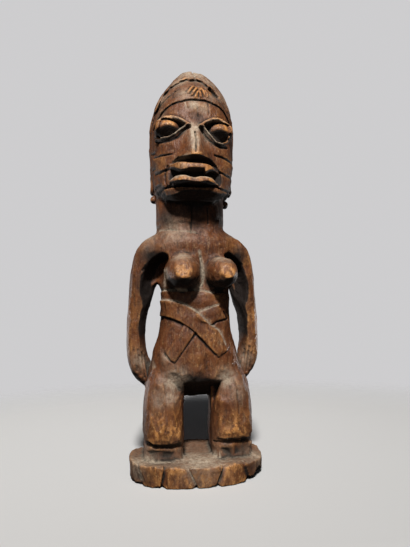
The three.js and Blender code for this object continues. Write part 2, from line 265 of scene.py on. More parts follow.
def front_ridge(points, width, height, y_high=0.0, y_low=LOW[1]):
    """A rounded ridge left standing along a line."""
    win = around(points, width, y_low, y_high)
    off = line_distance(points, win.x, win.z) / (width / 2)
    win.push(-height * np.exp(-((off * 1.3) ** 2)) * in_front(win, y_high))


def front_band(points, width, height, y_high=0.0, y_low=LOW[1]):
    """A flat band with crisp edges left standing along a line."""
    win = around(points, width, y_low, y_high)
    off = line_distance(points, win.x, win.z)
    win.push(-height * ease(width / 2 + 0.35, width / 2 - 0.35, off) * in_front(win, y_high))


def front_ledge(points, depth, run, y_high=0.0, y_low=LOW[1]):
    """Right under a line the wood drops back, and comes forward again further down."""
    win = around(points, run + 1, y_low, y_high)
    below = height_over_x(points, win) - win.z
    first_x, last_x = points[0][0], points[-1][0]
    ends = ease(first_x - 1, first_x + 1, win.x) * ease(last_x + 1, last_x - 1, win.x)
    profile = ease(-0.35, 0.35, below) * np.clip(1 - below / run, 0, 1)
    win.push(depth * profile * ends * in_front(win, y_high))


def raised_patch(points, height, edge=0.5, y_high=0.0, y_low=LOW[1]):
    """The surface stands proud inside an outline, or is sunk where the height is below 0."""
    win = around(points, edge, y_low, y_high)
    inside = ease(edge / 2, -edge / 2, outline_distance(points, win.x, win.z))
    win.push(-height * inside * in_front(win, y_high))


# Sizes shared with the solid

# Ovals of the body, the neck and the head, as ring_distance takes them
TORSO = [
    (50, 34, 35, 8, 26, 2.5, 0),
    (60, 36.5, 37.5, 16, 29, 2.6, 0),
    (70, 36.5, 37.5, 22, 29, 2.6, 0),
    (80, 34.8, 35.2, 23.2, 26.5, 2.6, 0),
    (90, 32.4, 31.6, 23.2, 23, 2.7, 0),
    (102, 28.2, 28.2, 22.8, 20.5, 2.8, 0),
    (114, 26.4, 27.2, 22.2, 20, 2.9, 0),
    (126, 25.8, 26.6, 22, 20, 2.9, 0),
    (138, 28, 28, 22.4, 20.5, 2.7, 0),
    (148, 34, 33.4, 23, 21.5, 2.5, 0),
    (160, 36.2, 35.4, 23, 21.8, 2.4, 0),
    (168, 36, 35, 23, 21.5, 2.3, 0),
    (175, 32.5, 31, 21.8, 21, 2.2, 0),
    (181, 29, 27, 18.6, 20.5, 2.2, 0),
]
NECK = [
    (170, 30, 27, 20, 20, 2.2, 0),
    (184, 29.8, 25.2, 20.4, 21, 2.2, 0),
    (198, 29.6, 25, 22, 23, 2.2, 0),
    (212, 29.4, 25.4, 23, 25, 2.2, 0),
]
HEAD = [
    (198, 27.5, 26.5, 36, 26, 2.4, 0),
    (205, 29, 28.4, 37.4, 28, 2.4, 0),
    (211, 30.4, 29.6, 36.6, 29.6, 2.45, 0),
    (220, 32, 31.4, 35, 32, 2.5, 0),
    (232, 33, 32.8, 33.8, 34.5, 2.5, 0),
    (244, 33.2, 33, 33.4, 36.2, 2.45, 0),
    (256, 32.9, 32.7, 33.8, 37, 2.4, 0),
    (266, 32.1, 32.2, 33.6, 36.8, 2.3, 0),
    (275, 30.5, 31, 31.6, 35.6, 2.25, 0),
    (284, 27.8, 29.2, 28, 33.2, 2.2, 0),
    (293, 23.8, 26.2, 24, 29.2, 2.15, 0.6),
    (301, 19.2, 22.2, 19.4, 24, 2.1, 1.5),
    (308, 14.6, 18, 15.2, 18.4, 2.05, 3),
    (314, 10, 13.4, 10.4, 12.6, 2, 4.6),
    (318, 6.2, 9, 6, 7.6, 2, 6),
    (320, 2.6, 4.4, 2.2, 3.6, 2, 6.6),
]
# Rings of a leg: height, share of the outer half width, reach to the front and back, squareness
THIGH = [
    (24.6, 1, 23, 32, 3),
    (27, 1, 23.8, 32.4, 3),
    (33, 1, 24.6, 31, 3),
    (42, 0.99, 24.6, 28, 2.9),
    (54, 0.96, 23.6, 26.4, 2.8),
    (66, 0.87, 21, 25, 2.6),
    (76, 0.72, 16.5, 20, 2.4),
]
SHIN = [
    (8, 0.97, 20, 32.2, 3.2),
    (18, 0.98, 20.6, 32.2, 3.1),
    (24, 0.98, 20.4, 31, 3),
    (30, 0.9, 19, 28, 3),
]
KNEE = 24.6  # height of the groove under the knee in those rings
LEGS = [(-24.8, 15.2, 24), (25.4, 16, 25.4)]  # middle, half width and height of that leg's groove
# The right arm from the neck down to the hand: x, y, z, half width and half depth
ARM = [
    (8, 1.5, 167, 15.5, 18),
    (19, 2, 167.5, 15.5, 18),
    (30, 3, 162, 15, 16.5),
    (35.8, 4, 153.6, 12.6, 14.2),
    (38.8, 4.5, 143.5, 11.3, 12.8),
    (41, 5.5, 131, 9.8, 11.5),
    (44.1, 6, 115, 7.9, 10.2),
    (44.9, 6.5, 98, 7.6, 9.6),
    (43.2, 7.5, 84, 8.4, 10),
    (39.6, 9.5, 73.5, 8.4, 10.4),
    (35, 12, 66, 6.6, 9),
]
RIGHT_ARM_SHIFT = -0.9
# The hollow between arm and breast: x, y, z, half width and half depth
ARMPIT = [
    (25.6, -17, 157, 4, 15),
    (29, -17, 151, 7.4, 18),
    (32, -17, 143, 7.8, 18),
    (35, -16, 134, 6.4, 16),
    (37, -15, 126, 3.4, 13),
]
NOSE_X = -1.7
BREASTS = [(-9.9, 147.4, 14, -11), (15.6, 147, 12.4, 20.4)]  # middle x, z, half width, x of the tip
# A breast from the tip back to the chest: y, half width and half height
BREAST_CONE = [
    (-41, 2.2, 2.2), (-39, 5.2, 4.8), (-35.5, 8.8, 8.8), (-30, 12, 12.4), (-23, 13.8, 14.8), (-14, 14.2, 16),
]
CONE_HALF = 14  # half width of the breast that those rows are for
BASE_REACH_X, BASE_REACH_Y, BASE_SQUARE = 49.5, 37, 2.35
BASE_TOP = 14


# Body


def carve_body():
    torso = Window((-44, -34, 46), (44, 38, 186))
    torso.join(ring_distance(TORSO, torso))
    for x in (-15.5, 17.5):
        buttock = Window((-40, -12, 42), (42, 38, 88))
        buttock.join(egg_distance(buttock, (x, 13, 65), (19, 20, 18)), soft=3)
    neck = Window((-36, -30, 168), (34, 32, 214))
    neck.join(ring_distance(NECK, neck), soft=1.5)
    for middle, half, knee in LEGS:
        carve_leg(middle, half, knee)
    for side in (-1, 1):
        carve_arm(side)
    for x, z, half, tip in BREASTS:
        carve_breast(x, z, half, tip)


def carve_leg(middle, half, knee):
    """A square folded leg: the shin below, the thigh above, and a groove between them."""
    win = Window((middle - 20, -30, 10), (middle + 20, 38, 80))
    for rows, soft in ((SHIN, 0.01), (THIGH, 0.8)):
        rings = []
        for z, share, front, back, square in rows:
            # The rings next to the groove go up or down with it
            z = z + knee - KNEE if 20 < z < 30 else z
            reach = (half * share, half) if middle < 0 else (half, half * share)
            rings.append((z, *reach, front, back, square, 0))
        win.join(soft_max(ring_distance(rings, win, middle), rings[0][0] - win.z, 2.5), soft)


def carve_arm(side):
    """An arm with its inner face cut flat, and the pocket between it and the breast."""
    shift = RIGHT_ARM_SHIFT if side > 0 else 0
    points = [(side * x + shift, y, z, w, d) for x, y, z, w, d in ARM]
    win = Window((-54, -22, 54), (0, 26, 186)) if side < 0 else Window((0, -22, 54), (53, 26, 186))
    limb = limb_distance(win, points, 0.4)
    upwards = [(z, x, y, w, d) for x, y, z, w, d in points[:2:-1]]
    middle_x, middle_y, wide, deep = smooth_rows(upwards, win.z)
    inner_face = 0.9 * side * (middle_x - win.x) - 0.44 * (win.y - middle_y) - 0.39 * wide - 0.4 * deep
    limb = soft_max(limb, inner_face - 30 * ease(138, 158, win.z), 0.8)
    win.join(limb, soft=1.4)
    points = [(side * x, y, z, w, d) for x, y, z, w, d in ARMPIT]
    win = Window((-48, -44, 118), (-14, 8, 168)) if side < 0 else Window((14, -44, 118), (48, 8, 168))
    win.carve(limb_distance(win, points), soft=1.5)


def carve_breast(x, z, half, tip):
    """A blunt cone that points forwards, and a little down, with its nipple worn flat."""
    win = Window((x - 20, -44, z - 20), (x + 20, -8, z + 20))
    wide, tall = smooth_rows(BREAST_CONE, win.y)
    lean = np.clip((-14 - win.y) / 26, 0, 1)
    middle_x = x + (tip - x) * lean
    middle_z = z - 3.4 * lean
    share = np.hypot((win.x - middle_x) / wide, (win.z - middle_z) / tall) * CONE_HALF / half
    cone = (share - 1) * wide * half / CONE_HALF * 0.8
    flat = -38.9 - win.y + 0.16 * (win.z - middle_z)
    win.join(soft_max(cone, flat, 0.9), soft=1.0)


def carve_leg_gap():
    """The squared opening between the legs, lower at the back."""
    win = Window((-16, LOW[1], 13), (22, HIGH[1], 70))
    back = np.clip((win.y + 21) / 51, -0.2, 1.4)
    left = -9.9 + 4.3 * back
    right = 9.4 + 3 * back
    top = 66.5 - 18 * np.clip(back, 0, 1)
    flare = np.where(win.y < -8, 1, 0) * np.clip((win.z - 38) / 28, 0, 1) ** 1.6 * 7
    shaft = np.maximum(left - win.x, win.x - right - flare)
    shaft = np.maximum(np.maximum(shaft, win.z - top), BASE_TOP - win.z)
    win.carve(shaft, soft=0.9)


# The strips and the belt, in x and z
TOP_STRIP_UPPER = [
    (-30.6, 127), (-26.8, 126.7), (-21.3, 125.7), (-15.6, 124.5), (-9.9, 122.5), (-5.5, 120.2), (0.1, 116.1),
    (4.6, 111.7), (8.9, 107.3), (15, 103.5), (18, 99.1), (22.8, 88.8),
]
TOP_STRIP_LOWER = [
    (-30.6, 114.8), (-27.1, 114.7), (-20.1, 112.9), (-12.9, 109.8), (-6, 105.4), (-1, 101), (8.5, 90.8),
    (15, 83.6), (22.8, 88.8),
]
UNDER_STRIP_RIGHT = [
    (-2, 115), (0.1, 116.1), (4.6, 117.9), (9.1, 119.6), (16.1, 121.9), (20, 116.7), (22.8, 111.6),
    (14.1, 109.4), (11, 107.2), (2, 110),
]
UNDER_STRIP_LEFT = [
    (-1.7, 101.4), (-6.1, 95.4), (-11.2, 88.5), (-17, 80.2), (-20.4, 82.3), (-23.8, 87.1), (-18, 95),
    (-10, 108),
]
BELT_TOP = [
    (-33, 133.9), (-26.1, 133.6), (-18.5, 132.7), (-1.8, 132.2), (4.1, 132.1), (11.6, 130.3), (18.7, 130.8),
    (33, 131),
]


def carve_bands():
    """The belt, and over it the two strips that cross on the belly."""
    belt = Window((-30.4, LOW[1], 121), (30.4, HIGH[1], 137))
    below_top = belt.z - height_over_x(BELT_TOP, belt)
    across = ease(0.3, -0.3, below_top) * ease(119, 126, belt.z + 0.05 * belt.x)
    belt.push(-across * ease(30.4, 29, np.abs(belt.x)))
    front_groove([(x, z + 0.6) for x, z in BELT_TOP[1:-1]], width=1.5, depth=0.5, y_low=-30)
    raised_patch(UNDER_STRIP_RIGHT, height=1.0, y_low=-30)
    raised_patch(UNDER_STRIP_LEFT, height=1.0, y_low=-30)
    raised_patch(TOP_STRIP_UPPER + TOP_STRIP_LOWER[-2::-1], height=1.4, y_low=-30)
    front_ledge(TOP_STRIP_LOWER[:-1], depth=0.9, run=3.4, y_low=-30)
    front_groove(TOP_STRIP_LOWER[-2:], width=1.6, depth=0.8, y_low=-30)
    front_groove(TOP_STRIP_UPPER[1:], width=1.4, depth=0.55, y_low=-30)
    front_groove(UNDER_STRIP_LEFT[:6], width=2.0, depth=1.4, y_low=-30)
    front_groove(UNDER_STRIP_RIGHT[5:9], width=1.9, depth=1.3, y_low=-30)
    front_groove(UNDER_STRIP_RIGHT[1:6], width=1.3, depth=0.5, y_low=-30)


# Cuts under the knees, in x and z
KNEE_CUTS = [
    [(-40, 27.4), (-34.7, 26.8), (-32, 24.4), (-27.8, 23.6), (-15, 23.6), (-8, 22)],
    [(11, 24), (18.5, 25), (25.3, 24.8), (36.9, 24.4), (42, 24.6)],
]
# Hollows where the folded legs meet the base: outline, depth and width of the edge
SHIN_HOLLOWS = [
    ([(-36.4, 19.3), (-33.3, 16.6), (-27.8, 16), (-20, 16.2), (-18.5, 18.3), (-27.8, 20.8)], 1.1, 2.4),
    ([(16.5, 19.6), (20.6, 19), (22, 16), (16.8, 16)], 1.0, 2),
    ([(25, 22.6), (37, 22), (35.8, 16), (25.6, 16)], 1.1, 2.4),
]
# The line between thigh and shin on a leg's outer side, in y and z
FOLD = [(-21, 24), (-6, 28), (10, 36), (24, 44), (36, 48)]
# Flats that the adze left on the thighs: outline and depth
THIGH_FLATS = [
    ([(-21, 75), (-12, 70), (-13.4, 60), (-19.6, 52), (-25, 60)], 1.17),
    ([(-32, 66), (-26.4, 62), (-25, 46), (-31, 40), (-36, 52)], 1.04),
    ([(-22.6, 48), (-14.4, 54), (-11.6, 40), (-17, 34.6), (-23, 37)], 0.91),
    ([(14, 74), (23, 74), (27, 62), (20, 52), (13, 60)], 1.04),
    ([(28, 62), (35, 56), (35.6, 42), (29, 37), (26.6, 48)], 1.04),
    ([(13, 50), (21, 50), (25, 38), (20, 34), (12.6, 36)], 0.91),
]


def carve_knees():
    for line in KNEE_CUTS:
        front_ledge(line, depth=1.6, run=3.0, y_high=-9)
    for outline, depth, edge in SHIN_HOLLOWS:
        raised_patch(outline, -depth, edge, y_high=-9)
    for x_low, x_high in ((-46, -30), (30, 46)):
        win = Window((x_low, -24, 18), (x_high, 38, 54))
        off = line_distance(FOLD, win.y, win.z)
        win.push(1.8 * np.clip(1 - off / 1.6, 0, 1))
    for outline, depth in THIGH_FLATS:
        raised_patch(outline, height=-depth, edge=3.4, y_high=-6)


# Cuts between the fingers of the right hand, from the top down, in x and z
FINGER_CUTS = [
    ((46.6, 90), (44.2, 74)), ((43.6, 90), (41.4, 71)), ((40.6, 88), (38.4, 69)), ((38.2, 84), (36.2, 70)),
]


def carve_hands():
    """Flat hands laid on the hips, with the fingers parted by shallow cuts."""
    for side, shift in ((-1, 0), (1, RIGHT_ARM_SHIFT)):
        for cut in FINGER_CUTS:
            front_groove([(side * x + shift, z) for x, z in cut], width=1.7, depth=0.75, y_high=6)


# Base

# Slanting cuts in the wall: x and height at the top, x at the bottom, depth, and the side that is steep
BASE_CUTS = [
    (-42.9, 13.4, -40.1, 1.2, -1), (-25.2, 14, -27.4, 2.4, 1), (-9.6, 13.2, -4.2, 1.9, -1),
    (14.6, 13.4, 9.4, 2.2, 1), (29.6, 13, 33.2, 3, -1),
]
BASE_RINGS = (0.95, 0.885, 0.82, 0.75, 0.68)  # cuts round the top, in shares of the base's reach
BASE_RING_STEP = 0.066  # between the rings of dust on it, in the same shares
UPRIGHT_CUTS = (34, 57, 78, 99, 121, 143)  # in the wall behind, in degrees round the base


def base_share(x, y):
    """1 on the base's outline seen from above, and less inside it."""
    across, along = np.abs(x / BASE_REACH_X), np.abs((y + 1) / BASE_REACH_Y)
    return (across**BASE_SQUARE + along**BASE_SQUARE) ** (1 / BASE_SQUARE)


def carve_base():
    """An oval slab with a worn rim, a chip on its right side and rings on its top between the knees."""
    win = Window((-53, -42, LOW[2]), (53, 40, 17))
    share = base_share(win.x, win.y)
    x, y = win.x, win.y + 1
    reach = np.sqrt(x * x + y * y)
    wall = reach * (1 - 1 / np.maximum(share, 0.02)) + 0.06 * (8 - win.z)
    rim = 0.5 * np.sin(x * 0.31 + 1) + 0.4 * np.sin(x * 0.83) + 0.35 * np.sin(x * 1.9 + 2)
    top = win.z - BASE_TOP + 0.3 * rim * ease(0.86, 0.98, share)
    slab = soft_max(wall, top, 1.3)
    slab = soft_max(slab, -win.z, 1.2)
    chip = np.hypot(x - 47, y + 22) * 0.7 + np.abs(win.z - 1) * 0.9
    slab = soft_max(slab, 6.4 - chip, 1.5)
    for level in BASE_RINGS:
        cut = 0.9 * np.clip(1 - np.abs(share - level) * 36 / 1.1, 0, 1)
        slab = slab + cut * ease(0, -6, y) * ease(17, 13, np.abs(x - 2)) * ease(12, 13, win.z)
    win.join(slab, soft=0.4)


def chop_base_wall():
    """Flats round the wall, parted by slanting cuts in front and upright ones behind."""
    win = Window((-53, -42, LOW[2]), (53, 12, 17))
    on_wall = ease(0.86, 0.93, base_share(win.x, win.y))
    for top_x, top_z, low_x, depth, steep in BASE_CUTS:
        line = top_x + (low_x - top_x) * np.clip((top_z - win.z) / (top_z - 1.6), 0, 1.1)
        off = (win.x - line) * steep
        cut = np.where(off < 0, np.clip(1 + off / 0.6, 0, 1), np.clip(1 - off / 3.4, 0, 1))
        win.push(depth * cut * ease(-12, -16, win.y) * on_wall)
    past = win.x - (29.6 + 3.6 * np.clip((13 - win.z) / 11.4, 0, 1))
    win.push(1.3 * ease(0, 0.8, past) * ease(12, -12, win.y) * on_wall)
    for angle in np.radians(UPRIGHT_CUTS):
        line_x, line_y = 49 * math.cos(angle), 36 * math.sin(angle)
        win = Window((line_x - 5, line_y - 5, LOW[2]), (line_x + 5, line_y + 5, 17))
        near = np.hypot(win.x - line_x - 0.12 * (win.z - 7) * math.sin(angle), win.y - line_y)
        win.push(1.1 * np.clip(1 - near / 2.4, 0, 1))


# Head

# Height of the underside of the head by y, at the jaw's corners and in the middle
JAW = [(-60, 203.4), (-30, 204.4), (0, 210.4), (60, 214)]
THROAT = [(-60, 203.6), (-37, 203.6), (-26, 199.4), (-14, 201), (0, 210.4)]
CROWN = 319.9  # the top of the head is cut off flat here


def carve_head():
    win = Window((-40, -48, 196), (40, HIGH[1], HIGH[2]))
    head = true_distance(ring_distance(HEAD, win))
    jaw, throat = height_over_y(JAW, win), height_over_y(THROAT, win)
    underside = jaw + (np.minimum(throat, jaw) - jaw) * ease(29, 13, np.abs(win.x + 1.5)) - win.z
    head = soft_max(head, underside.astype(np.float32), 1.6)
    hair, cap = hair_and_cap(win)
    win.join(soft_max(head - hair - cap, win.z - CROWN, 1.0), soft=0.8)


# Edge of the hair and of the cap, in front in x and z, on the sides in y and z
HAIR_FRONT = [
    (-36, 250), (-31.1, 260.7), (-28.1, 266.2), (-25.8, 268.8), (-22.8, 271.7), (-19.1, 273.9),
    (-14.7, 275.4), (-10.2, 275.8), (-7.2, 276.8), (-3.4, 277.4), (2.7, 277.2), (7.4, 277.4), (12.2, 276.1),
    (18, 274.9), (22.4, 273.2), (26.1, 270.2), (28.2, 266.8), (31, 260), (36, 250),
]
CAP_FRONT = [
    (-36, 258), (-32.5, 269.4), (-29.4, 275.8), (-26.3, 282.6), (-23, 290.4), (-20.8, 292), (-18.4, 294.8),
    (-16.4, 295.2), (-13.8, 297.4), (-12, 297.2), (-10.6, 300), (-8, 300.2), (-5.8, 301.7), (-4, 301),
    (-2.9, 299.8), (-1, 300.8), (2.1, 301.8), (5, 300.8), (7.6, 299.2), (9, 296.4), (10.6, 295.4),
    (12.4, 292), (13.5, 291.2), (15.6, 287), (18.5, 283), (23.5, 278.6), (26.9, 273), (29.7, 267.5),
    (32, 263), (40, 262),
]
SIDE_HAIR = [(-29, 278), (-13, 265), (-6, 251), (1, 232), (4, 218), (8, 211), (26, 207), (60, 205)]
SIDE_CAP = [
    (-22, 300), (-14, 293), (-10.5, 284), (-7, 270), (-1, 252), (6, 234), (10, 222), (14, 214), (60, 210),
]


def hair_and_cap(win):
    """How far the hair and the cap over it stand out from the head."""
    behind = ease(-14, -4, win.y)
    hair_edge = height_over_x(HAIR_FRONT, win) * (1 - behind) + height_over_y(SIDE_HAIR, win) * behind
    cap_edge = height_over_x(CAP_FRONT, win) * (1 - behind) + height_over_y(SIDE_CAP, win) * behind

    def across(edge):
        slope_x, slope_y = np.gradient(edge[:, :, 0], PITCH)
        return (win.z - edge) / np.sqrt(1 + slope_x**2 + slope_y**2)[:, :, None]

    above = across(cap_edge)
    hair = ease(-0.4, 0.4, across(hair_edge))
    # The cap's edge is worn down on the right, and a little on the left
    right = ease(12, 19, win.x) * ease(-4, -12, win.y)
    left = ease(-12, -20, win.x)
    rise = (1.55 - 0.75 * right - 0.1 * left) * ease(-0.4, 0.4 + 1.2 * right, above)
    dip = (0.6 - 0.5 * right) * ease(1.2, 5, above)
    groove = (0.75 - 0.5 * right - 0.1 * left) * ease(1.3, 0.2, np.abs(above + 1.1))
    cap = (rise - dip - groove) * (0.25 + 0.75 * ease(236, 262, win.z))
    return hair.astype(np.float32), cap.astype(np.float32)


# Cuts in the hair and the cap: line in x and z, width, depth and how far back they reach
HAIR_CUTS = [
    (HAIR_FRONT[1:-2], 1.7, 1.4, -8),
    ([(-28.4, 274.6), (-25.7, 279.6), (-23.4, 281.1), (-18.8, 285.1), (-14.2, 287.7)], 1.7, 1.2, -8),
    ([(-24, 276.4), (-18.6, 280.2), (-12, 282)], 1.1, 0.45, -8),
    ([(-19.6, 288.6), (-14.6, 292.4), (-9, 294.6)], 1.1, 0.5, -8),
    ([(12.8, 291.6), (17.6, 286)], 4.6, 3.4, -10),
    ([(14, 287), (19, 280.6), (24, 276)], 1.2, 0.6, -8),
    ([(1.6, 302), (1.2, 330)], 1.9, 1.6, 14),
    ([(-9.5, 303), (-8.2, 312)], 1.4, 0.9, 0),
    ([(-4.4, 304), (-3.8, 313)], 1.1, 0.6, 0),
    ([(7, 301.6), (6.4, 311)], 1.3, 0.8, 0),
    ([(11.6, 298), (10.6, 308)], 1.3, 0.8, 0),
    ([(-15.6, 299), (-12.4, 307)], 1.2, 0.7, 2),
    ([(18, 288), (15.4, 299)], 1.3, 0.8, 2),
]
# Notches in the hair over the forehead: x, top, low end and depth
NOTCHES = [
    (-7.3, 275.2, 269.2, 0.6), (-3.5, 275.4, 268.4, 0.7), (1.1, 275.4, 263.7, 0.6), (9.7, 275.6, 264.6, 0.7),
    (-13, 273.6, 269, 0.4), (14.6, 272.6, 267, 0.4),
]


def carve_hair_lines():
    """Cuts and notches in the hair and the cap, and under them a low swelling over a shallow dip."""
    for line, width, depth, y_high in HAIR_CUTS:
        front_groove(line, width, depth, y_high)
    for x, high, low, depth in NOTCHES:
        front_groove([(x, high), (x + 0.3, low)], 1.5, depth, y_high=-18)
        front_ridge([(x + 1.2, high - 0.6), (x + 1.5, low + 1)], width=1.5, height=depth * 0.6, y_high=-18)
    front_ridge([(-6, 272), (0, 272.4), (6.4, 271.6)], width=5, height=0.6, y_high=-18)
    win = Window((-14, -40, 252), (16, -22, 276))
    win.push(1.5 * np.exp(-(((win.x - 1) / 7.5) ** 2) - ((win.z - 263.6) / 4.6) ** 2))


# Leaves of the rosette: line in x and z, width and height
LEAVES = [
    ([(-6.6, 283.6), (-4.4, 288), (-1.4, 291.8)], 2.76, 1.43),
    ([(-3.6, 280.8), (-1.2, 285.6), (1.4, 289.6)], 2.53, 1.54),
    ([(-0.6, 279), (1.2, 283), (2.6, 286.4)], 2.185, 1.21),
    ([(3.6, 287.4), (4.4, 283), (4.6, 279.6)], 2.3, 1.21),
    ([(5.8, 290), (8, 285.4), (8.4, 281)], 2.76, 1.54),
    ([(8.6, 288.4), (10.8, 284.4), (10.4, 280)], 2.07, 1.1),
]
# Cuts between and around them
LEAF_CUTS = [
    [(-5, 282.4), (-2.8, 286.8), (0.4, 290.8)],
    [(-2, 280), (0.2, 284.4), (2.2, 288)],
    [(2.6, 289.6), (2.8, 284), (2.6, 278.6)],
    [(5.4, 287.6), (6.4, 283.4), (6.6, 279.4)],
    [(8, 289.6), (9.6, 285), (9.4, 280.4)],
    [(-8.6, 285), (-4, 292.4), (2, 294)],
    [(3, 292.6), (10.6, 290.6)],
]


def drawn_in(points):
    """Points drawn in towards the middle of the rosette."""
    return [(1.6 + 0.86 * (x - 1.6), 285.4 + 0.9 * (z - 285.4)) for x, z in points]


def carve_rosette():
    """A small worn rosette of crumpled leaves above the hairline."""
    for points, width, height in LEAVES:
        front_ridge(drawn_in(points), width, height, y_high=-14)
    for points in LEAF_CUTS:
        front_groove(drawn_in(points), width=1.2, depth=1.0, y_high=-14)


# Each eye: the upper lid, the lower lid and the cut below it in x and z, then the ball's middle and radii
EYES = [
    (
        [(-29.4, 253.2), (-28.6, 258.2), (-27, 262.8), (-24.6, 264.2), (-21.6, 263.2), (-18, 262.2),
         (-13.5, 260.6), (-9.2, 257.7), (-5.4, 254.6)],
        [(-29.4, 253.2), (-28.4, 250.6), (-26.1, 248.3), (-20.3, 247.7), (-15.9, 249.4), (-12, 252.4),
         (-8.4, 254.6), (-5.4, 254.6)],
        [(-29.4, 248.6), (-26.1, 245.4), (-19.6, 244.6), (-13.8, 246.4), (-9.4, 251), (-7.2, 253.2)],
        (-20.6, -24.6, 255.2), (9.8, 7.8, 7.4),
    ),
    (
        [(2.5, 254.1), (7.8, 258.3), (12.6, 261), (17.8, 262), (22.8, 261.8), (26, 260.2), (27.6, 256.8),
         (27.6, 253)],
        [(2.5, 254.1), (5.4, 254.4), (7.6, 251.6), (11.2, 247.7), (15.2, 244), (20, 243.6), (24.4, 246.6),
         (26.2, 249.8), (27.6, 253)],
        [(4, 251.2), (5.8, 248.3), (9.3, 244.7), (13.3, 242.2), (18.6, 240.6), (24, 242)],
        (18.4, -24.4, 254.2), (9.8, 7.4, 7.6),
    ),
]
LOWER_LID_END = 26.5  # beyond this x the lower lid has run out into the face


def carve_eyes():
    """Hollows with bulging eyes in them, a thick lid above and a thin one below."""
    for upper, lower, below, middle, radii in EYES:
        rim = upper + lower[-2:0:-1]
        win = around(rim, 2, LOW[1], -9)
        inside = -outline_distance(rim, win.x, win.z)
        win.push(3.6 * ease(0, 2.2, inside) * in_front(win, -9))
        ball = egg_distance(win, middle, radii)
        low_face = -0.66 * (win.y + 31.4) - 0.75 * (win.z - middle[2] + 0.6)
        win.join(soft_max(ball, low_face, 1.6), soft=0.3)
        front_band(upper, width=3.0, height=2.0, y_high=-9)
        front_groove([(x, z - 2.1) for x, z in upper[2:-1]], width=1.3, depth=1.0, y_high=-9)
        front_band([(x, z) for x, z in lower if abs(x) < LOWER_LID_END], width=1.5, height=1.3, y_high=-9)
        front_groove(below, width=2.6, depth=1.4, y_high=-9)
        front_groove([(x * 0.98, z + 2.6) for x, z in upper[1:-1]], width=2.2, depth=0.35, y_high=-9)


# The nose from its wings up to the brow: height, reach forwards, half width and half width of the ridge
NOSE = [
    (226, 43.8, 16.6, 2.8), (229, 43.6, 16, 2.7), (234, 42.8, 14, 2.6), (242, 40.2, 10.8, 2.6),
    (250, 37, 7.8, 2.8), (257, 33.8, 5.6, 3.2), (263, 30, 4.4, 2.6),
]
# Its lower edge, in x and z
NOSE_EDGE = [
    (-22, 226.4), (-16.5, 227.9), (-14, 229.8), (-9.5, 228.8), (-3.9, 228.3), (1.3, 228.3), (6.9, 228.4),
    (11.3, 227.6), (14.4, 224.9), (20, 222),
]


def carve_nose():
    """A broad three-sided wedge that runs out into the cheeks, cut off flat below."""
    win = Window((-22, LOW[1], 222), (20, -24, 263))
    reach, half, blunt = smooth_rows(NOSE, win.z)
    off = np.abs(win.x - NOSE_X)
    run_x, run_y = half - blunt, reach - 31.5
    length = np.sqrt(run_x**2 + run_y**2)
    side = ((off - blunt) * run_y - (win.y + reach) * run_x) / length
    wedge = soft_max(side, -reach - win.y + 0.12 * off, 1.2)
    wedge = soft_max(wedge, height_over_x(NOSE_EDGE, win) - win.z, 0.6)
    win.join(wedge, soft=1.6)
    ridge = [(NOSE_X + 0.1, 248.6), (NOSE_X + 0.7, 240), (NOSE_X - 0.2, 231)]
    front_groove(ridge, width=1.5, depth=2.4, y_high=-30)


UPPER_LIP = [
    (-20.6, 225.4), (-16, 224.4), (-6, 223.2), (1.2, 223), (6.6, 222.7), (11.5, 221.8), (17, 220.4),
    (16.8, 218.8), (12, 219.2), (9, 218.6), (7.2, 217.4), (5.2, 215.8), (4.4, 219.2), (-1.8, 219.3),
    (-6.8, 218.9), (-9, 217.7), (-13.2, 217.4), (-15.9, 219.4), (-19.6, 222),
]
LOWER_LIP = [
    (-21, 213.6), (-17.2, 214.5), (-13.2, 214.4), (-9.1, 214.1), (-6.3, 212.7), (-2.7, 211.9), (0.9, 213.1),
    (5.5, 213.4), (10.4, 212.9), (15.4, 211.6), (15.4, 209.2), (10.3, 208.8), (5.5, 209), (-0.5, 207.7),
    (-4.8, 208.2), (-10.5, 209.2), (-16, 209.8), (-21.6, 211.4),
]
# The dark slots under the nose and between the lips: outline, and how far forward their backs lie
MOUTH_SLOTS = [
    ([(-17.6, 226), (-16.4, 227.6), (-14, 229.4), (-9.5, 228.4), (1.3, 228), (6.9, 228), (11.3, 227.2),
      (14.6, 224.6), (16.4, 221), (6, 222.4), (-6, 223), (-16, 224)], 32.2),
    ([(-22, 219), (-19, 223), (-12, 219), (-2, 220), (5, 220), (12, 220), (17.4, 219), (17, 211), (0, 211),
      (-20, 213)], 30.6),
]


def lip(outline, reach, bulge, slope):
    """One lip, bent round the front of the face, its front leaning by slope."""
    win = around(outline, 3, LOW[1], -24)
    flat = outline_distance(outline, win.x, win.z)
    off = np.clip(np.abs(win.x + 2.6) / 19.6, 0, 1.1)
    middle = sum(z for _, z in outline) / len(outline)
    front = -(26 + (reach - 26) * (1 - off**4)) - win.y + slope * (win.z - middle)
    win.join(soft_max(flat, front, bulge), soft=0.4)


def carve_mouth():
    """Thin ragged lips, a jag hanging from the right of the upper one, with slots between and above them."""
    for slot, back in MOUTH_SLOTS:
        win = around(slot, 2, LOW[1], -29)
        flat = outline_distance(slot, win.x, win.z)
        win.carve(np.maximum(flat, win.y + back - 0.007 * (win.x + 2) ** 2), soft=0.5)
    under_lip = [(-19.4, 208.6), (-10, 207.9), (0, 207.3), (8, 207.9), (14.8, 208.2)]
    front_groove(under_lip, width=2.2, depth=4.2, y_high=-20)
    lip(UPPER_LIP, 42, 1.0, 0.1)
    lip(LOWER_LIP, 42.8, 1.3, 0.55)
    front_groove([(-21.4, 224.6), (-23, 219.4), (-22.8, 212), (-20.8, 207.6)], width=2, depth=1.0, y_high=-16)
    front_groove([(17.4, 220.4), (18.2, 214), (16, 207.6)], width=2, depth=1.0, y_high=-16)


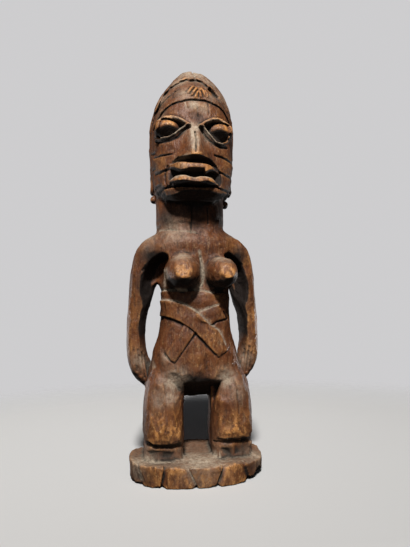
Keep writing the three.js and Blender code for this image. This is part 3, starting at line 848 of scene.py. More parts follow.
# The cuts on the cheeks: side, line in front in x and z, line on the side in y and z
SCARS = [
    (-1, [(-33.3, 239.5), (-29, 235.6), (-23.2, 234.1), (-17.2, 233.6)], [(-14, 240), (-4, 243.6)]),
    (-1, [(-33.3, 228.2), (-29.6, 223.4), (-26.9, 221.6), (-20.6, 222.2)], [(-14, 227.6), (-4, 230)]),
    (-1, [(-32.6, 211.4), (-26.8, 208.8), (-22.7, 208.6), (-18.6, 209.6)], [(-14, 212.4), (-4, 214.4)]),
    (1, [(13.6, 233.3), (19.6, 232.8), (25.1, 232.2), (29, 232.6), (33, 236)], [(-14, 236), (-4, 240)]),
    (1, [(12.9, 222.8), (16.6, 220.6), (22.7, 219.2), (28.4, 220.3), (32, 223)], [(-14, 222.6), (-4, 226)]),
    (1, [(15.3, 207.8), (19.6, 207), (27.4, 208.7), (30.6, 211)], [(-14, 211), (-4, 213)]),
]


def carve_scars():
    for side, front, back in SCARS:
        front_groove(front, width=1.9, depth=1.9, y_high=-9)
        side_groove(back, 2.1, 1.5, side)


def carve_ears():
    for side in (-1, 1):
        x = side * 31.6 - 0.6
        win = Window((x - 7, -4, 200), (x + 7, 16, 236))
        win.join(egg_distance(win, (x, 6, 221), (3.2, 4.8, 8.8)), soft=0.8)
        win.carve(egg_distance(win, (x + side * 3.2, 6, 222), (2.8, 2.7, 5.8)), soft=0.5)
        knob = egg_distance(win, (side * 29 - 2.2, 3, 207 - side * 1.4), (4, 4.2, 4.2))
        win.join(knob, soft=0.8)


# Marks of the tools


def surface_spots(count, low, high, apart):
    """Places on the surface between two corners, at least so far apart, with the way out of the wood."""
    win = Window(low, high)
    near = np.argwhere(np.abs(win.field) < 0.55 * PITCH)
    if len(near) == 0:
        return []
    near = near[rng.permutation(len(near))[: 14 * count]]
    first = np.array([c.start for c in win.cut])
    spots, taken = [], {}
    for cell in near:
        place = np.array([AXES[k][first[k] + cell[k]] for k in range(3)])
        key = tuple((place // apart).astype(int))
        close_by = product(*((k - 1, k, k + 1) for k in key))
        others = (taken.get(other) for other in close_by)
        if any(other is not None and np.linalg.norm(other - place) < apart for other in others):
            continue
        i, j, k = first + cell
        if any(at < 3 or at > size - 4 for at, size in zip((i, j, k), wood.shape)):
            continue
        out = np.array([
            wood[i + 2, j, k] - wood[i - 2, j, k],
            wood[i, j + 2, k] - wood[i, j - 2, k],
            wood[i, j, k + 2] - wood[i, j, k - 2],
        ], dtype=float)
        size = np.linalg.norm(out)
        if size < 1e-3:
            continue
        taken[key] = place
        spots.append((place, out / size))
        if len(spots) >= count:
            break
    return spots


def chop(low, high, count, apart, depth, along, bend, long_bend, reach):
    """Shallow scoops between two corners, bent to these radii across and along the tool's way."""
    before = wood.copy()
    for place, out in surface_spots(count, low, high, apart):
        way = np.array(along) + rng.normal(0, 0.25, 3)
        way = way - out * (way @ out)
        if np.linalg.norm(way) < 0.2:
            way = np.cross(out, [0.3, 1.0, 0.2])
        way /= np.linalg.norm(way)
        across = np.cross(out, way)
        deep = depth * rng.uniform(0.4, 1.3)
        win = Window(place - reach, place + reach)
        dx, dy, dz = win.x - place[0], win.y - place[1], win.z - place[2]
        height = dx * out[0] + dy * out[1] + dz * out[2]
        u = dx * across[0] + dy * across[1] + dz * across[2]
        v = dx * way[0] + dy * way[1] + dz * way[2]
        scoop = height + deep - u * u / (2 * bend) - v * v / (2 * long_bend)
        inside = ease(1, 0.62, np.maximum(np.maximum(np.abs(dx), np.abs(dy)), np.abs(dz)) / reach)
        win.put(np.maximum(win.field, np.minimum(scoop, before[win.cut] + 1.25 * depth * inside)))


UP = (0, 0, 1)
# Two corners, number of strokes, how far apart, their depth and way, the scoop's two radii and its reach
STROKES = [
    ((-54, -20, 62), (-33, 26, 176), 360, 5.4, 0.4, UP, 16, 200, 11),  # left arm
    ((31, -20, 62), (53, 26, 176), 360, 5.4, 0.4, UP, 16, 200, 11),  # right arm
    ((-42, -30, 27), (42, 36, 78), 420, 6, 0.6, UP, 16, 70, 10),  # thighs
    ((-42, -30, 14), (42, 36, 26), 160, 4.6, 0.4, (1, 0, 0), 12, 40, 7),  # shins
    ((-36, -28, 78), (36, 34, 132), 420, 5.4, 0.4, UP, 18, 110, 10),  # hips and belly
    ((-40, -28, 132), (40, 34, 178), 360, 6, 0.45, UP, 20, 80, 10),  # chest and shoulders
    ((-34, -30, 172), (32, 30, 204), 200, 6.4, 0.5, UP, 20, 90, 10),  # neck
    ((-38, -20, 206), (38, 42, 321), 620, 5.8, 0.45, UP, 18, 80, 9),  # head behind the face
    ((-34, -32, 206), (-14, -14, 244), 70, 5, 0.3, (1, 0, -0.2), 14, 50, 7),  # left cheek
    ((14, -32, 206), (34, -14, 244), 70, 5, 0.3, (1, 0, 0.2), 14, 50, 7),  # right cheek
    ((-26, -36, 264), (26, -14, 276), 40, 5, 0.25, (1, 0, 0.2), 14, 40, 6),  # forehead
    ((-26, -42, 132), (32, -16, 162), 160, 4.4, 0.35, UP, 12, 40, 6),  # breasts
    ((-52, -42, 1), (52, 40, 13), 280, 5, 0.55, UP, 10, 60, 8),  # wall of the base
    ((-50, -40, 13.2), (50, 38, 15), 90, 8, 0.22, (1, 0.3, 0), 16, 60, 8),  # top of the base
]


def carve_tool_marks():
    for stroke in STROKES:
        chop(*stroke)


# Drying cracks in front: line in x and z, width, depth and how far back they reach
CRACKS = [
    ([(-3.4, 199), (-3, 188), (-4, 176)], 1.35, 1.0, -2), ([(9, 196), (9.6, 184)], 1.2, 0.8, -2),
    ([(2.4, 158), (3.6, 148), (4, 136)], 2.4, 0.9, -2), ([(-24, 64), (-23.4, 50), (-24, 34)], 1.2, 0.6, -2),
    ([(28, 60), (28.6, 44)], 1.2, 0.6, -2), ([(5.6, 96), (6.2, 76)], 1.05, 0.5, -2),
    ([(-46, 130), (-46.6, 104)], 1.05, 0.5, -2),
    ([(2.2, 162), (3.8, 153.8), (4.8, 145.9), (4.3, 138.9), (1, 134.4)], 1.8, 0.8, -8),
    ([(-28, 180.2), (-19.3, 179.8), (-9.7, 177.8), (-0.8, 176.6), (7.3, 173)], 1.3, 0.5, -6),
]
BACK_CRACKS = [(-4, 110, 170), (5, 214, 268), (-9, 236, 290)]  # x, lower and upper end


def carve_cracks():
    """Fine drying cracks along the grain, in front and behind."""
    for line, width, depth, y_high in CRACKS:
        front_groove(line, width, depth, y_high)
    win = Window((-12, 16, 96), (14, HIGH[1], 300))
    for x, low, high in BACK_CRACKS:
        line = [(x, low), (x + 1.4, (low + high) / 2), (x + 0.4, high)]
        off = line_distance(line, win.x, win.z)
        win.push(np.clip(1 - off / 0.8, 0, 1))


# Surface


def draw_surface(field):
    """Vertices and four-sided faces of the surface where the field crosses 0."""
    inside = field < 0
    mixed = np.zeros([n - 1 for n in field.shape], dtype=np.int8)
    for corner in product((0, 1), repeat=3):
        mixed += inside[tuple(slice(c, n - 1 + c) for c, n in zip(corner, field.shape))]
    mixed = (mixed > 0) & (mixed < 8)
    index = np.full(mixed.shape, -1, dtype=np.int64)
    cells = np.argwhere(mixed)
    index[mixed] = np.arange(len(cells))
    sums = np.zeros((len(cells), 3))
    counts = np.zeros(len(cells))
    i, j, k = cells.T
    for axis in range(3):
        others = [o for o in range(3) if o != axis]
        for a, b in product((0, 1), repeat=2):
            start = [0, 0, 0]
            start[others[0]], start[others[1]] = a, b
            end = list(start)
            end[axis] += 1
            here = field[i + start[0], j + start[1], k + start[2]]
            there = field[i + end[0], j + end[1], k + end[2]]
            cross = (here < 0) != (there < 0)
            point = np.tile(np.array(start, dtype=float), (cross.sum(), 1))
            point[:, axis] += here[cross] / (here[cross] - there[cross])
            sums[cross] += point
            counts[cross] += 1
    vertices = GRID_START + (cells + sums / counts[:, None]) * PITCH
    faces = []
    for axis in range(3):
        others = [(axis + 1) % 3, (axis + 2) % 3]
        low = [slice(None)] * 3
        high = list(low)
        low[axis], high[axis] = slice(0, -1), slice(1, None)
        starts_inside = inside[tuple(low)]
        edges = np.argwhere(starts_inside != inside[tuple(high)])
        edges = edges[(edges[:, others[0]] > 0) & (edges[:, others[1]] > 0)]
        quad = []
        for step in ((0, 0), (-1, 0), (-1, -1), (0, -1)):
            cell = edges.copy()
            cell[:, others] += step
            quad.append(index[tuple(cell.T)])
        quad = np.stack(quad, axis=1)
        flip = ~starts_inside[tuple(edges.T)]
        quad[flip] = quad[flip][:, ::-1]
        faces.append(quad)
    return vertices, np.concatenate(faces)


def blurred(field, radius):
    """The field averaged over a soft ball."""
    size = max(1, round(radius / PITCH))
    out = field
    for _ in range(2):
        for axis in range(3):
            pad = [(size + 1, size) if k == axis else (0, 0) for k in range(3)]
            total = np.cumsum(np.pad(out, pad, mode="edge"), axis=axis, dtype=np.float32)
            ahead = [slice(None)] * 3
            behind = [slice(None)] * 3
            ahead[axis], behind[axis] = slice(2 * size + 1, None), slice(0, -(2 * size + 1))
            out = (total[tuple(ahead)] - total[tuple(behind)]) / (2 * size + 1)
    return out


def sample(field, vertices):
    """Values of a field at points, between the grid's corners."""
    place = (vertices - GRID_START) / PITCH
    i = np.clip(np.floor(place).astype(int), 0, np.array(field.shape) - 2)
    t = place - i
    value = np.zeros(len(vertices))
    for corner in product((0, 1), repeat=3):
        share = np.where(corner, t, 1 - t)
        value += share[:, 0] * share[:, 1] * share[:, 2] * field[tuple((i + corner).T)]
    return value


# Places made golden, as rubbed wood and as painted highlight on the tops of the lids, eyeballs and lips: x,
# y, z, reach and strength
WEAR_AND_HIGHLIGHT_SPOTS = [
    # Nipples
    (-11.4, -39.5, 144.6, 5, 2.4), (20.4, -39.5, 143.6, 4.4, 2.4),
    # Knees and thighs
    (-26, -24, 32, 11, 0.8), (-15, -24, 34, 10, 1.0), (-14, -24, 46, 7, 0.7), (-29, -24, 42, 8, 0.5),
    (25, -24, 32, 11, 0.9), (30, -24, 40, 8, 0.6), (16, -24, 40, 7, 0.4),
    # Upper lids and eyeballs, their upper faces given painted highlight
    (-21, -34, 263.6, 6, 1.3), (-13, -36, 260.4, 4, 1.1), (-27, -26, 260, 4, 0.9),
    (-20.4, -32, 258.8, 5.4, 1.6), (19, -34, 262.2, 7, 1.3), (26, -28, 259, 4, 0.8),
    (21.6, -31, 257.4, 5.6, 1.6),
    # Nose, lips and cheeks
    (-1.6, -43.6, 230.6, 3.6, 1.0), (-9, -42, 221.6, 5, 0.35), (-15, -40, 221, 4, 0.8),
    (8, -41, 219.6, 5, 0.35), (6.2, -42, 217.2, 2.4, 1.0), (-12, -43, 212.4, 5.6, 0.5),
    (0, -43, 212, 6, 0.3), (9, -42, 211.6, 5, 0.45), (-28, -22, 230, 6, 0.4), (24, -26, 228, 7, 0.3),
    # Hair, rosette and cap
    (0.6, -28, 286, 7, 1.0), (8.4, -28, 285, 4, 1.0), (-6, -22, 302.4, 6, 0.9), (3, -22, 302.6, 4, 0.5),
    (-13, -22, 299, 4, 0.5), (-1, -30, 271.6, 6, 0.4), (6, -30, 270.6, 4, 0.5),
    # Shoulders, arms and hands
    (-46.4, -4, 118, 16, 0.2), (46, -4, 112, 14, 0.45), (46, -3, 88, 9, 0.5), (-46, -4, 90, 8, 0.35),
    (40, -8, 158, 9, 0.55), (30, -14, 168, 8, 0.3), (-34, -14, 166, 10, 0.15),
    # Strips and belly
    (-18, -22, 118, 9, 0.15), (10, -24, 98, 10, 0.4), (16, -24, 76, 6, 0.6), (-2, -24, 82, 8, 0.25),
    (14, -22, 127, 4, 0.5),
    # Wall of the base
    (-34, -36, 7, 9, 0.9), (-18, -38, 9, 7, 0.8), (-8, -40, 6, 6, 0.6), (2, -40, 5, 7, 0.9),
    (20, -38, 10, 9, 0.8), (26, -36, 4, 7, 0.6), (44, -26, 5, 5, 0.6),
]
# Places made pale, as dust and as painted sheen on upward faces such as the forehead, nose ridge and thigh
# tops: x, y, z, reach and strength
DUST_AND_HIGHLIGHT_SPOTS = [
    # Base
    (0, -24, 14, 18, 0.8), (-42, -16, 14, 13, 0.6), (43, -16, 14, 13, 0.5),
    # Shoulders and chest
    (-18, -18, 178, 12, 0.5), (-36, -6, 176, 12, 0.4), (-12, -30, 157, 8, 0.5), (18, -28, 156, 7, 0.5),
    (3.6, -22, 146, 5, 0.7), (-24, -16, 142, 5, 0.7), (0, -22, 136, 6, 0.5), (-32, -16, 110, 4, 0.4),
    # Hands and thighs
    (-41, -2, 82, 9, 0.7), (38, -2, 82, 10, 0.6), (-24, -20, 84, 5, 0.5), (-17, -22, 68, 10, 1.2),
    (-19, -24, 57, 7, 0.8), (20, -20, 69, 8, 1.1), (-29, -22, 56, 8, 0.4), (29, -22, 60, 8, 0.4),
    # Nose
    (-1.6, -36, 252, 5.4, 1.2), (-6, -33, 250, 6, 0.3), (6, -33, 246, 8, 0.35), (-2, -38, 246, 4.6, 0.9),
    (-1.6, -41, 243, 5, 1.3), (-3, -40, 238, 3.4, 0.6), (-2, -43, 234, 4, 0.5),
    # Hair and cap
    (-1, -31, 272.6, 5.4, 1.2), (5.6, -30.6, 270.6, 4.4, 1.0), (-28, -22, 268, 8, 0.3),
    (12, -26, 280, 6, 0.4), (-8, -28, 283, 8, 0.5), (-24, -16, 284, 9, 0.4), (24, -14, 286, 12, 0.5),
    (-12, -18, 300, 10, 0.6), (12, -16, 301, 10, 0.6), (0, -10, 313, 18, 0.8),
]
# Places painted nearly black as shade, in armpits, under overhangs, in recesses and low on the base: x, y, z,
# reach and strength
PAINTED_SHADE_SPOTS = [
    # Armpits, and between the arms and the body
    (-36, -14, 160, 12, 0.9), (-31, -16, 148, 9, 1.0), (-37, -12, 140, 13, 1.0), (-31, -12, 137, 8, 1.4),
    (-38, -10, 122, 9, 0.9), (-37, -6, 108, 8, 0.7), (-50, -6, 74, 5, 0.6), (36, -14, 160, 11, 0.9),
    (31, -16, 146, 8, 0.9), (36, -12, 138, 12, 1.0), (31, -12, 134, 8, 1.2), (37, -10, 122, 9, 0.9),
    (37, -6, 106, 8, 0.7),
    # Under the breasts, and the loin
    (-12, -34, 134, 7, 0.6), (14, -34, 133, 7, 0.7), (-11, -31, 138.4, 7.5, 0.8),
    (19, -31, 137.6, 7, 0.8), (0, -16, 66, 12, 1.2),
    # Neck and throat
    (0, -24, 184, 13, 0.75), (0, -22, 192, 16, 0.7), (0, -26, 198, 18, 1.0),
    *[(x, -16, 190, 14, 0.75) for x in (-22, 20)], *[(x, -22, 200, 14, 0.6) for x in (-26, 24)],
    *[(x, -31, 200, 9, 1.2) for x in (-10, 0, 9)], *[(x, -28, 203, 8, 0.8) for x in (-18, 17)],
    # Mouth, and under the lower lip and the nose
    *[(x, -38, 207.4, 4, 1.0) for x in (-8, 4)], (17.6, -33, 214, 5.5, 1.3), (-20, -32, 216, 5, 1.2),
    (-14, -33, 216, 6, 1.2), (-4, -34, 216, 6, 1.2), (6, -34, 216, 6, 1.2), (14, -32, 216, 6, 1.2),
    *[(x, -38, 217, 5, 1.2) for x in (-14, -8, -2)], (4, -38, 217, 5, 1.0),
    *[(x, -33, 226, 6.5, 1.2) for x in (-12, 0)], (9, -33, 225, 6.5, 1.2), (-12, -38, 227, 5, 1.2),
    *[(x, -38, 226.6, 5, 1.2) for x in (-5, 2)], (9, -37, 226, 5, 1.2),
    # Eyes, cheeks and forehead
    (-20, -32, 250, 6, 1.1), (-12, -34, 252.4, 5, 0.8), (-24, -27, 246.6, 5, 0.7), (18.4, -32, 249, 6, 1.1),
    (9, -34, 251, 5, 0.7), (20, -28, 243, 5, 0.6), (-28, -24, 216, 7, 0.5), (30, -18, 216, 7, 0.4),
    (2, -33, 262, 7, 0.6),
    # Cap
    (-14, -24, 284, 8, 0.5), (17, -22, 281, 7, 0.5), (-24, -30, 300, 12, 0.3),
    # Shins
    *[(x, -28, 20, 12, 0.75) for x in (-24, 26)], (-30, -26, 17, 6, 0.8), (32, -28, 18, 6, 0.7),
    (-32, -20, 18, 7, 0.8), (-23, -21, 18, 8, 0.8), (31, -20, 18, 8, 0.8), (21, -21, 18, 7, 0.8),
    # Base
    (-34, -26, 6, 10, 0.5), (34, -28, 8, 11, 0.55), (-44, -18, 6, 9, 0.6), (42, -20, 8, 8, 0.5),
    (0, -36, 3, 12, 0.25), (10, -30, 18, 5, 0.4),
]
# Pale lines seen from the front, as dust in cracks and on the base and as painted highlight along the upper
# edges of the bands, lids, lips and nose ridge: points in x and z, width and strength
DUST_AND_HIGHLIGHT_LINES = [
    # Belt and strips
    ([(-26.1, 134.2), (-18.5, 133.3), (-8, 132.8)], 1.4, 0.9),
    ([(-1.8, 133), (4.1, 132.8), (11.6, 131)], 1.3, 0.8),
    ([(-26.8, 127.2), (-21.3, 126.2), (-15.6, 125), (-9.9, 123), (-5.5, 120.7), (0.1, 116.7)], 1.2, 0.9),
    ([(0.1, 116.7), (4.6, 112.3), (8.9, 108), (15, 104.1), (18, 99.7), (20.6, 93)], 1.1, 0.75),
    ([(0.1, 116.7), (4.6, 118.4), (9.1, 120.2), (16.1, 122.4)], 1.2, 0.8),
    # Chest
    ([(2.2, 162), (3.8, 153.8), (4.8, 145.9), (4.3, 138.9), (0, 133.6)], 1.7, 0.9),
    ([(-28, 180.4), (-19.3, 180), (-9.7, 178), (-0.8, 177)], 1.5, 0.6), ([(-15, 173), (-2, 172)], 1.2, 0.3),
    ([(-23.6, 149), (-22.8, 143), (-23.4, 137)], 1.6, 0.7),
    # Hands
    ([(-38, 96), (-36, 86), (-32, 78)], 2.4, 0.6), ([(34, 92), (33, 82)], 2.2, 0.6),
    # Lids
    ([(-8.6, 254.6), (-12, 252.4), (-15.9, 249.4)], 1.2, 0.9),
    ([(-15.9, 249.4), (-20.3, 247.7), (-26.1, 248.3)], 1.1, 0.5),
    ([(-28, 260.6), (-26, 263), (-24.6, 263.8), (-21.6, 263), (-18, 262), (-13.5, 260.4), (-9.2, 257.6)],
     1.2, 0.6),
    ([(5.4, 254.4), (7.6, 251.6), (11.2, 247.7)], 1.2, 0.9),
    ([(11.2, 247.7), (15.2, 244), (20, 243.6)], 1.1, 0.7),
    ([(7.8, 258.1), (12.6, 260.8), (17.8, 261.8), (22.8, 261.6), (26.4, 260)], 1.2, 0.6),
    # Nose
    ([(-3.4, 256), (-3.6, 247), (-3.2, 234)], 2.2, 0.95), ([(0.4, 256), (0.2, 246), (0.2, 236)], 1.3, 0.6),
    ([(-17, 227.6), (-13, 229.6), (-6, 229.2)], 0.9, 0.4),
    # Lips
    ([(-19.4, 225.2), (-6, 223.6), (4, 223.4)], 1.0, 0.35),
    ([(-19, 213), (-13.2, 213.6), (-9.1, 213.4), (-6.3, 212.2), (-2.7, 211.4), (0.9, 212.6), (5.5, 212.9),
      (10.4, 212.4), (15, 211.2)], 1.2, 0.8),
    # Hair
    ([(-7.9, 275), (-7.2, 269.6)], 0.9, 0.8), ([(8.6, 275), (7.8, 266)], 0.9, 0.5),
    # Base
    ([(-42.4, 12.6), (-40.4, 4)], 1.4, 0.7), ([(-9.4, 12.6), (-5, 3)], 1.2, 0.7),
]
# Lines on top of the base, round the feet, in x and y
DUST_ON_BASE = [
    [(-37.6, -10), (-36.8, -16.8), (-31.3, -21), (-16.8, -23), (-10, -19), (-8.4, -14.2), (-4.6, -6)],
    [(8.6, -6), (9.9, -9), (12.2, -17), (15.2, -25), (26, -27), (38, -27)],
]


def spread(places, vertices):
    """The strongest of a list of soft round spots at each point."""
    total = np.zeros(len(vertices))
    for x, y, z, reach, strength in places:
        gone = np.sum((vertices - (x, y, z)) ** 2, axis=1) / (reach * reach)
        total = np.maximum(total, strength * np.exp(-gone * 1.6))
    return total


def dust_and_highlight_lines_at(vertices):
    """How pale each point is made by the lines above: dust, and painted highlight along raised edges."""
    total = np.zeros(len(vertices))
    front = vertices[:, 1] < -8
    x, y, z = vertices[front].T
    values = np.zeros(front.sum())
    for points, width, strength in DUST_AND_HIGHLIGHT_LINES:
        off = line_distance(points, x, z)
        values = np.maximum(values, strength * ease(width, width * 0.3, off))
    total[front] = values
    low = (vertices[:, 2] > 12.5) & (vertices[:, 2] < 17)
    x, y, z = vertices[low].T
    share = base_share(x, y)
    between_feet = ease(16, 12, np.abs(x - 2)) * ease(-4, -10, y) * ease(12.6, 13.2, z)
    rings = 0.5 + 0.5 * np.cos((share - 0.915) * 2 * math.pi / BASE_RING_STEP)
    values = between_feet * ease(0.1, 0.75, rings)
    for points in DUST_ON_BASE:
        values = np.maximum(values, 0.9 * ease(2, 0.5, line_distance(points, x, y)))
    total[low] = np.maximum(total[low], values)
    return total


TRIANGLES = 188000  # in the finished mesh


def make_figure():
    carve_body()
    carve_bands()
    carve_knees()
    carve_hands()
    carve_leg_gap()
    carve_head()
    carve_ears()
    carve_scars()
    carve_hair_lines()
    carve_rosette()
    carve_nose()
    carve_eyes()
    carve_mouth()
    carve_base()
    chop_base_wall()
    carve_tool_marks()
    carve_cracks()
    underside = Window(LOW, (HIGH[0], HIGH[1], 3))
    underside.put(np.maximum(underside.field, -underside.z))

    vertices, faces = draw_surface(wood)
    mesh = bpy.data.meshes.new("kneeling_figure_carved")
    mesh.from_pydata((vertices / PER_METRE).tolist(), [], faces.tolist())
    piece = bpy.data.objects.new("carved_wood_figure", mesh)
    bpy.context.scene.collection.objects.link(piece)
    keep_largest(piece)
    thin_out(piece)
    mark_surface(piece)
    for polygon in piece.data.polygons:
        polygon.use_smooth = True
    return piece


def thin_out(piece):
    """Takes the mesh down to its number of triangles."""
    thin = piece.modifiers.new("thin", "DECIMATE")
    thin.ratio = TRIANGLES / (2 * len(piece.data.polygons))
    depsgraph = bpy.context.evaluated_depsgraph_get()
    thinned = bpy.data.meshes.new_from_object(piece.evaluated_get(depsgraph))
    piece.modifiers.clear()
    piece.data = thinned


def keep_largest(piece):
    """Drops crumbs that the carving has cut free."""
    bm = bmesh.new()
    bm.from_mesh(piece.data)
    seen, groups = set(), []
    bm.verts.ensure_lookup_table()
    for start in bm.verts:
        if start.index in seen:
            continue
        group, stack = [], [start]
        seen.add(start.index)
        while stack:
            vertex = stack.pop()
            group.append(vertex)
            for edge in vertex.link_edges:
                other = edge.other_vert(vertex)
                if other.index not in seen:
                    seen.add(other.index)
                    stack.append(other)
        groups.append(group)
    groups.sort(key=len)
    for group in groups[:-1]:
        bmesh.ops.delete(bm, geom=group, context="VERTS")
    bm.to_mesh(piece.data)
    bm.free()


def on_points(mesh, name):
    """One vector a vertex."""
    values = np.empty(len(mesh.vertices) * 3)
    mesh.vertices.foreach_get(name, values)
    return values.reshape(-1, 3)


def mark_surface(piece):
    """Stores on each vertex its darkening, as recess patina and painted shade, how exposed it is, its gold of
    wear and painted highlight, and its pallor of dust and painted sheen.
    """
    mesh = piece.data
    vertices = on_points(mesh, "co") * PER_METRE
    normals = on_points(mesh, "normal")
    fine = sample(blurred(np.clip(wood, -3, 3), 1.3), vertices)
    broad = sample(blurred(np.clip(wood, -5, 5), 3.2), vertices)
    # Recesses, darkened as the patina that gathers there
    hollow_and_shade = ease(0.02, 0.75, -fine) + 0.6 * ease(0.1, 1.6, -broad)
    edge = ease(0.05, 0.6, fine) * 0.6 + 0.12 * ease(0.3, 1.5, broad)
    # Undersides, painted dark as shade; gold is kept off them too
    under = ease(0.15, 0.75, -normals[:, 2])
    x, z = vertices[:, 0], vertices[:, 2]
    # Inner faces of the arms, painted dark as shade
    inner_arm_shade = ease(0.1, 0.55, -np.sign(x) * normals[:, 0]) * (np.abs(x) > 29)
    inner_arm_shade = inner_arm_shade * ease(84, 108, z) * ease(178, 168, z)
    # Painted shade from the undersides, the listed spots and the inner arms, on top of the recess patina
    hollow_and_shade = hollow_and_shade + 0.9 * under + spread(PAINTED_SHADE_SPOTS, vertices) + inner_arm_shade
    edge = edge * (1 - under)
    # Gold of wear and painted highlight, kept off the undersides painted as shade
    wear_and_highlight = spread(WEAR_AND_HIGHLIGHT_SPOTS, vertices) * ease(-0.35, 0.25, fine) * (1 - under)
    facing_up = normals[:, 2]
    # Dust in the listed spots, and on upward faces a painted sheen of the light from above
    dust_and_sheen = spread(DUST_AND_HIGHLIGHT_SPOTS, vertices) * ease(-1.0, 0.2, facing_up + 0.2) + 0.3 * ease(0.5, 0.95, facing_up)
    # Pale lines of dust and of painted highlight
    dust_and_sheen = np.maximum(dust_and_sheen, dust_and_highlight_lines_at(vertices))
    for name, values in (("hollow_and_shade", hollow_and_shade), ("edge", edge), ("wear_and_highlight", wear_and_highlight), ("dust_and_sheen", dust_and_sheen)):
        layer = mesh.attributes.new(name, "FLOAT", "POINT")
        layer.data.foreach_set("value", np.clip(values, 0, 1).astype(np.float32))


# Finish

# Colours of the wood, from the deepest to the most worn
# Black of the patina in recesses, also used as painted shade
SHADE_AND_PATINA_BLACK = (0.007, 0.0045, 0.0035)
DENT = (0.020, 0.009, 0.006)
SPECKLE = (0.030, 0.011, 0.006)
DARK_BROWN = (0.060, 0.0165, 0.0066)
RED_BROWN = (0.132, 0.039, 0.0132)
WARM_BROWN = (0.19, 0.064, 0.021)
FIBRE = (0.26, 0.10, 0.036)
SCRATCH = (0.45, 0.26, 0.13)
GOLDEN = (0.58, 0.26, 0.08)
FLECK = (0.82, 0.50, 0.22)
# Pale grey of dust, also used as painted sheen
PALE_DUST_AND_SHEEN = (0.50, 0.405, 0.30)


def add_node(tree, kind, **settings):
    node = tree.nodes.new(kind)
    for key, value in settings.items():
        setattr(node, key, value)
    return node


def add_range(tree, value, low, high, to_low=0.0, to_high=1.0, **settings):
    """A node that maps a value from one range to another."""
    node = add_node(tree, "ShaderNodeMapRange", **settings)
    for name, number in (("From Min", low), ("From Max", high), ("To Min", to_low), ("To Max", to_high)):
        node.inputs[name].default_value = number
    tree.links.new(value, node.inputs["Value"])
    return node


